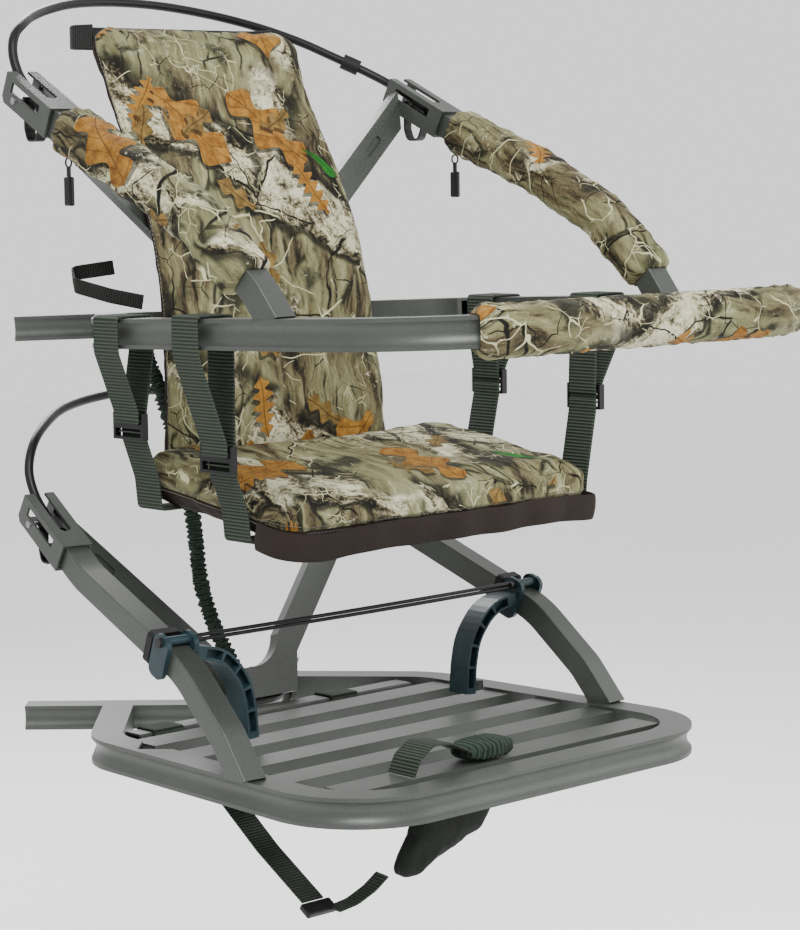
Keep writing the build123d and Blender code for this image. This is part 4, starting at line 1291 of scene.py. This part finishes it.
    def skirt(self) -> None:
        """Loose edge of the brown underside that shows below the seat's front."""
        flat = bent(array([(-208.5, -192, 0), (-208.5, -236.5, 0), (208.5, -236.5, 0),
                           (208.5, -219, 0)]), [0.024, 0.024], 0.003)
        t = tangents(flat)
        dist = lengths(flat)
        for i, d in enumerate(dist):
            out = 0.0022 * noise.noise((d * 22, 0.3, 0.0)) + 0.0012 * math.sin(d * 105)
            flat[i] += np.array((t[i][1], -t[i][0], 0.0)) * (out + 0.0005)
            flat[i][2] = -0.0430 - 0.0028 * noise.noise((d * 12, 4.0, 0.0)) \
                - 0.004 * math.exp(-((d - 0.09) / 0.05) ** 2)
        a = math.radians(self.slope)
        obj = ribbon("seat_skirt", self.seat_place(flat), (0, -math.sin(a), math.cos(a)),
                     0.027, 0.0036, Finish.BACKING, 0.0018)
        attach(obj, "seat")

    def build(self, stitches: StitchTree) -> None:
        """Makes both cushions with their stitching."""
        w, d = self.half / MM, self.deep / MM
        flat = rounded_outline([(-w, -d), (w, -d), (w, 0), (-w, 0)], [24] * 4)
        pad = Pad("seat_pad", flat, self.seat_thick, 0.013, 0.031, 0.0055)
        obj = self.dress(pad.blow(pad.start(0.0035)), pad, self.seat_place, 0.031, 0.0022)
        stand_in(obj, "camouflage", "seat_cushion")
        row = self.seam_rows("seat_stitches", pad, self.seat_place, obj,
                             (0.028, 0.0345), stitches)
        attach(row, "seat")
        self.skirt()
        path = bent(np.array([(0, y, z) for y, z in self.spine], float) * MM,
                    [0.25] * (len(self.spine) - 2), 0.006)
        dist = lengths(path)
        hz, hw = zip(*self.halves)
        right = [(float(np.interp(z / MM, hz, hw)), s / MM)
                 for s, z in zip(dist, path[:, 2])][::10]
        right[0] = (right[0][0], 3.0)
        top = float(dist[-1]) / MM + 12.0
        right.append((float(hw[-1]), top))
        corners = [(-x, y) for x, y in right][::-1] + list(right)
        radii = [34.0] + [80.0] * (len(right) - 2) + [14.0, 14.0] \
            + [80.0] * (len(right) - 2) + [34.0]
        back = Pad("back_pad", rounded_outline(corners, radii), self.back_thick, 0.012,
                   0.016, 0.004)
        obj = self.dress(back.blow(back.start(0.0030)), back, self.back_place, 0.016,
                         0.0018)
        stand_in(obj, "camouflage", "back_cushion")
        row = self.seam_rows("back_stitches", back, self.back_place, obj,
                             (0.0125,), stitches)
        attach(row, "seat_climber")


@dataclass
class Sleeves:
    """Padded sleeves on the arms and the front bar."""

    wide: float = 0.0242
    round_by: float = 0.015
    hole: float = 0.0130
    short: float = 0.012
    bend: float = 0.10
    left: Sequence[Point] = (
        (-260.8, -341, 25), (-265, -277, 83), (-267, -189, 131), (-260.2, -60.6, 187.5),
        (-258.9, -43, 197))
    full: Sequence[Point] = (
        (259.3, -364, -6), (260.8, -341, 25), (265, -277, 83), (267, -189, 131),
        (260.2, -60.6, 187.5), (258.9, -43, 197))

    def tilt(self, points: Sequence[Point]) -> np.ndarray:
        """Level coordinates of the climber to their place, in metres."""
        out = []
        for x, y, z in points:
            v = y + 244
            out.append((x, -244 + 0.999354 * v + 0.035946 * z,
                        424 - 0.035946 * v + 0.999354 * z))
        return array(out)

    def tube(self, name: str, path: np.ndarray, across: np.ndarray,
             half: Tuple[float, float], corner: float, hole: Tuple[float, float], seed: float) -> bpy.types.Object:
        """Wrinkled padded tube round a bar, its ends turned in.

        Args:
            name: Name of the piece.
            path: The bar's centre line in metres.
            across: Direction of the bar's width.
            half: Half width and half height outside.
            corner: Radius of its corners.
            hole: Half width and half height inside.
            seed: Number that tells its creases from another's.

        Returns:
            The piece.
        """
        dist = lengths(path)
        total = float(dist[-1])
        at = np.linspace(0, total, int(total / 0.0028))
        line = np.stack([np.interp(at, dist, path[:, k]) for k in range(3)], 1)
        t = tangents(line)
        m = 64
        around = 2 * (half[0] + half[1]) * 1.75
        outer, inner, uvo, uvi = [], [], [], []
        for i, p in enumerate(line):
            side = unit(across - t[i] * (across @ t[i]))
            up = np.cross(side, t[i])
            end = min(at[i], total - at[i])
            pinch = math.sqrt(max(0.0, 1 - (1 - min(end / 0.011, 1.0)) ** 2))
            gather = math.exp(-end / 0.03)
            ro, ri, fo, fi = [], [], [], []
            for k in range(m):
                a = 2 * math.pi * k / m
                c, s = math.cos(a), math.sin(a)
                n = 2.0 + 1.6 * (1 - corner / max(half))
                r = 1.0 / (abs(c / half[0]) ** n + abs(s / half[1]) ** n) ** (1 / n)
                q = np.array((at[i], c * 0.03, s * 0.03))
                fold = wrinkle(q[[1, 0, 2]], 26.0, 34.0, 0.0016, seed)
                fold += noise.noise((at[i] * 110, c * 0.9 + seed, s * 0.9)) * 0.0013
                fold += gather * 0.0014 * math.sin(a * 11 + seed)
                rin = 1.0 / (abs(c / hole[0]) ** 9 + abs(s / hole[1]) ** 9) ** (1 / 9)
                rin += 0.0003
                r = rin + (r + fold - 0.0012 - rin) * (0.12 + 0.88 * pinch)
                ro.append(p + side * (c * r) + up * (s * r))
                ri.append(p + side * (c * rin) + up * (s * rin))
                fo.append((a / (2 * math.pi) * around, at[i]))
                fi.append((a / (2 * math.pi) * around, -at[i]))
            outer.append(ro)
            inner.append(ri)
            uvo.append(fo)
            uvi.append(fi)
        rings = np.array(outer + inner[::-1])
        uv = np.array(uvo + uvi[::-1]) + seed * 0.31
        return loft(name, rings, uv, Finish.WOODLAND, closed=True)

    def build(self) -> None:
        """Makes the three sleeves."""
        left = self.tilt(self.left)
        left = np.r_[[left[0] + (left[1] - left[0]) * 0.16], left[1:]]
        right = self.tilt(self.full)
        right = np.r_[[right[0] + (right[1] - right[0]) * 0.82], right[1:]]
        for name, pts, seed in (("left", left, 2.0), ("right", right, 5.0)):
            pts = np.r_[pts[:-2], [pts[-2] - unit(pts[-2] - pts[-3]) * self.short]]
            path = bent(pts, [self.bend] * (len(pts) - 2), 0.004)
            across = np.array((1.0, 0.0, 0.0))
            obj = self.tube("arm_pad_" + name, path, across, (self.wide, self.wide),
                            self.round_by, (self.hole, self.hole), seed)
            stand_in(obj, "camouflage", "arm_sleeve_" + name)
        lo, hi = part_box("bar_sleeve")
        y, z = -0.5763, 0.4217
        path = np.array([(lo.x + (hi.x - lo.x) * k / 60, 0, 0) for k in range(61)])
        bend = np.maximum(np.abs(path[:, 0]) - 0.142, 0)
        path[:, 1] = y + 0.130 - np.sqrt(np.maximum(0.130 ** 2 - bend ** 2, 0))
        path[:, 2] = z - 0.035946 * (path[:, 1] - y)
        obj = self.tube("bar_pad", path, np.array((0.0, 1.0, -0.036)), (0.025, 0.02375),
                        0.017, (0.0163, 0.01455), 9.0)
        stand_in(obj, "camouflage", "bar_sleeve")


# ------------------------------------------------------------------ straps
@dataclass
class Straps:
    """All flat webbing of the stand."""

    wide: float = 0.038
    thick: float = 0.0022

    def hanging(self, name: str, side: int, y: float, bz: float) -> None:
        """One hanging strap with its tail under the seat.

        Args:
            name: Name of the node.
            side: -1 for left and 1 for right.
            y: Where it hangs along the rail, in millimetres.
            bz: Height of its buckle.
        """
        xc = 272 - 0.07317 * (y + 576)
        top = 424 - 0.035946 * (y + 244) + 2.3
        bottom, wall, xb, edge, lie = top - 28.5, 21.1, 232, 210.1, 4.9
        low = 291 + 0.15123 * (y - 19 + 88) - 50.57 - 1.5
        loop = [(xb + lie, bz + 3), (xb + lie, bz + 14), (xc + wall, bottom - 6),
                (xc + wall, top), (xc - wall, top), (xc - wall, bottom - 6),
                (xb - lie, bz + 14), (xb - lie, bz + 3)]
        tail = [(xb - lie, bz - 3), (xb - lie, bz - 14), (edge + 3, low + 30),
                (edge, low), (edge - 70, low)]
        a = bent(array([(side * x, y, z) for x, z in loop]),
                 [r * MM for r in (12, 16, 3.5, 3.5, 16, 12)], 0.0022)
        b = bent(array([(side * x, y, z) for x, z in tail]),
                 [r * MM for r in (12, 40, 5)], 0.0022)
        cloth = ribbon(name + "_loop", a, (0, 1, 0), self.wide, self.thick, Finish.WEB)
        stand_in(cloth, "webbing", name)
        end = ribbon(name + "_tail", b, (0, 1, 0), self.wide, self.thick, Finish.WEB)
        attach(end, body_of(frame["nodes"][name])[0])
        hook = array([(side * (xb + 6.0), y, bz + 3), (side * (xb + 3.4), y, bz + 5.6),
                      (side * (xb - 3.4), y, bz + 5.6), (side * (xb - 3.4), y, bz - 5.6),
                      (side * (xb + 1.0), y, bz - 5.6)])
        fold = ribbon(name + "_fold", bent(hook, [0.0015, 0.0015, 0.0015], 0.0015),
                      (0, 1, 0), self.wide - 0.002, 0.0015, Finish.WEB)
        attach(fold, body_of(frame["nodes"][name])[0])

    def flat(self, name: str, points: Sequence[Point], radii: Sequence[float],
             across: Point, width: float, finish: Finish = Finish.WEB,
             thick: float = 0.0022) -> bpy.types.Object:
        """One strap along corner points, standing in for a node."""
        path = bent(array(points), [r * MM for r in radii], 0.0022)
        obj = ribbon(name + "_web", path, across, width, thick, finish)
        return stand_in(obj, "webbing", name)

    def gathered(self) -> None:
        """The gathered elastic over the end of the toe strap."""
        lo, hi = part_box("toe_strap_elastic")
        mid, half = (lo + hi) / 2, (hi - lo) / 2
        n, m = 96, 40
        rings, uv = [], []
        for i in range(n):
            f = 2 * i / (n - 1) - 1
            x = mid.x + half.x * f
            env = max(0.05, (1 - abs(f) ** 3.0)) ** 0.5
            ring, flat = [], []
            for k in range(m):
                a = 2 * math.pi * k / m
                c, s = math.cos(a), math.sin(a)
                r = 1 / (abs(c) ** 3 + abs(s) ** 3) ** (1 / 3)
                stray = 1.2 * noise.noise((c * 1.4, s * 1.4, f * 3))
                ruff = 1 + 0.07 * math.sin(i * 2 * math.pi / 8.5 + stray) \
                    + 0.07 * noise.noise((c * 2, f * 9, s * 2))
                rr = min(r * env * ruff * 0.95, 1.14)
                ring.append((x, mid.y + half.y * c * rr * 0.94,
                             mid.z + half.z * s * rr * 0.94))
                flat.append((a * 0.014, x))
            rings.append(ring)
            uv.append(flat)
        obj = loft("toe_elastic", np.array(rings), np.array(uv), Finish.ELASTIC)
        stand_in(obj, "webbing", "toe_strap_elastic")

    def build(self) -> None:
        """Makes every strap."""
        for name, side, y, bz in (("seat_strap_front_left", -1, -244, 292),
                                  ("seat_strap_rear_left", -1, -112, 315),
                                  ("seat_strap_front_right", 1, -280, 322),
                                  ("seat_strap_rear_right", 1, -140, 331)):
            self.hanging(name, side, y, bz)
        toe = [(x, -381, z) for x, z in ((-132, -1.6), (-124, 14), (-106, 25), (-82, 22),
                                        (-56, 10))]
        self.flat("toe_strap", toe, (12, 14, 22), (0, 1, 0), 0.036)
        self.gathered()
        y, z, hw, hh = -46.0, -12.5, 12.7 + 1.5, 9.5 + 1.5
        for k, x in enumerate((-152.0, 88.0)):
            loop = [(x, y + hw * 0.2, z - hh), (x, y - hw, z - hh), (x, y - hw, z + hh),
                    (x, y + hw, z + hh), (x, y + hw, z - hh), (x, y + hw * 0.15, z - hh)]
            obj = ribbon(f"crossbar_wrap_{k}", bent(array(loop), [0.003] * 4, 0.0018),
                         (1, 0, 0), self.wide, self.thick, Finish.WEB)
            if k == 0:
                stand_in(obj, "webbing", "crossbar_webbing")
            else:
                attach(obj, "foot_platform")
        self.flat("carry_webbing_rear", [(-184, -172, -30.1), (-184, -184, -40),
                                         (-184, -248, -86), (-184, -312, -124)],
                  (10, 60), (1, 0, 0), 0.027)
        base = np.array((-174.0, -331.0, -131.0))
        way = unit(np.array((58.0, -11.0, 0.0)))
        front = [tuple(base + way * a + np.array((0, 0, b)))
                 for a, b in ((0, 0), (20, 4), (40, 14), (54, 25))]
        side = np.cross(way, (0, 0, 1.0))
        self.flat("carry_webbing_front", front, (30, 30), tuple(side), 0.022)
        self.flat("back_top_tie", [(-122, 80, 698), (-128, 106, 698), (-112, 132, 698),
                                   (96, 113, 698), (116, 104, 698), (121, 80, 698)],
                  (12, 12, 12, 12), (0, 0, 1), 0.024, Finish.DARK_WEB)
        for name, s in (("left", -1), ("right", 1)):
            pts = [(s * x, y2, z2) for x, y2, z2 in (
                (144, -22, 428), (158, 12, 434), (174, 50, 444), (152, 84, 455),
                (108, 72, 460))]
            self.flat("back_side_tie_" + name, pts, (14, 10, 12), (0, 0.1, 1), 0.015,
                      Finish.DARK_WEB)


@dataclass
class CarryPad:
    """Padded section of the carry strap that hangs below the platform."""

    outline: Sequence[Tuple[float, float]] = (
        (-88, -32.5), (34, -32.5), (38, -52), (24, -64), (4, -86), (-16, -92),
        (-34, -99), (-58, -107), (-78, -117), (-100, -118), (-112, -108),
        (-106, -92), (-92, -74), (-84, -58))
    y: float = -0.344
    thick: float = 0.026

    def place(self, q: np.ndarray) -> np.ndarray:
        """Flat points to the upright hanging pad."""
        return np.stack([q[:, 0], self.y - self.thick / 2 - q[:, 2], q[:, 1]], 1)

    def build(self, cushions: Cushions) -> None:
        """Makes the pad."""
        flat = rounded_outline(self.outline,
                               [3, 3, 8, 8, 12, 10, 12, 12, 12, 10, 10, 12, 12, 12],
                               0.003)
        pad = Pad("carry_cloth", flat, self.thick, 0.010, 0.013, 0.004)
        obj = cushions.dress(pad.blow(pad.start(0.003)), pad, self.place, 1.0, 0.0012)
        obj.data.materials[0] = Finish.NYLON.material()
        stand_in(obj, "camouflage", "carry_pad")


@dataclass
class Hardware:
    """Finishes of the CAD nodes that show as they are."""

    finishes: Dict[str, Finish] = field(default_factory=lambda: {
        "climber_arm": Finish.FRAME, "climber_brace": Finish.FRAME,
        "climber_rail": Finish.FRAME, "climber_receiver": Finish.FRAME,
        "climber_v_bar": Finish.FRAME, "platform_arm": Finish.FRAME,
        "platform_brace": Finish.FRAME, "platform_rail": Finish.FRAME,
        "platform_receiver": Finish.FRAME, "platform_v_bar": Finish.FRAME,
        "platform_slats": Finish.FRAME, "platform_crossbar": Finish.FRAME,
        "climber_latch_pins": Finish.BRIGHT, "platform_latch_pins": Finish.BRIGHT,
        "stirrup_pins": Finish.STEEL, "climber_latch": Finish.STEEL,
        "platform_latch": Finish.STEEL, "climber_cable_stops": Finish.STEEL,
        "platform_cable_stops": Finish.STEEL, "ladder_locks": Finish.BLACK,
        "carry_slider": Finish.BLACK, "zip_pull": Finish.BLACK,
        "cable_sleeve": Finish.RUBBER, "stirrup_strap": Finish.RUBBER,
        "stirrup": Finish.STIRRUP})

    def build(self) -> None:
        """Gives each node that shows its finish."""
        for name, obj in frame["nodes"].items():
            found = [k for k in self.finishes if name.startswith(k)]
            finish = self.finishes[max(found, key=len)] if found else Finish.WEB
            obj.data.materials.clear()
            obj.data.materials.append(finish.material())


def main() -> None:
    """Builds the scene piece by piece."""
    logging.basicConfig(level=logging.INFO, format="%(message)s")
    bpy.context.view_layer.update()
    Studio().build()
    LOG.info("studio done")
    Cables().build()
    Tether().build()
    LOG.info("cords done")
    Hardware().build()
    stitches = StitchTree()
    cushions = Cushions()
    cushions.build(stitches)
    LOG.info("cushions done")
    Sleeves().build()
    LOG.info("sleeves done")
    Straps().build()
    LOG.info("straps done")
    CarryPad().build(cushions)
    LOG.info("carry pad done")


if __name__ == "__main__":
    main()
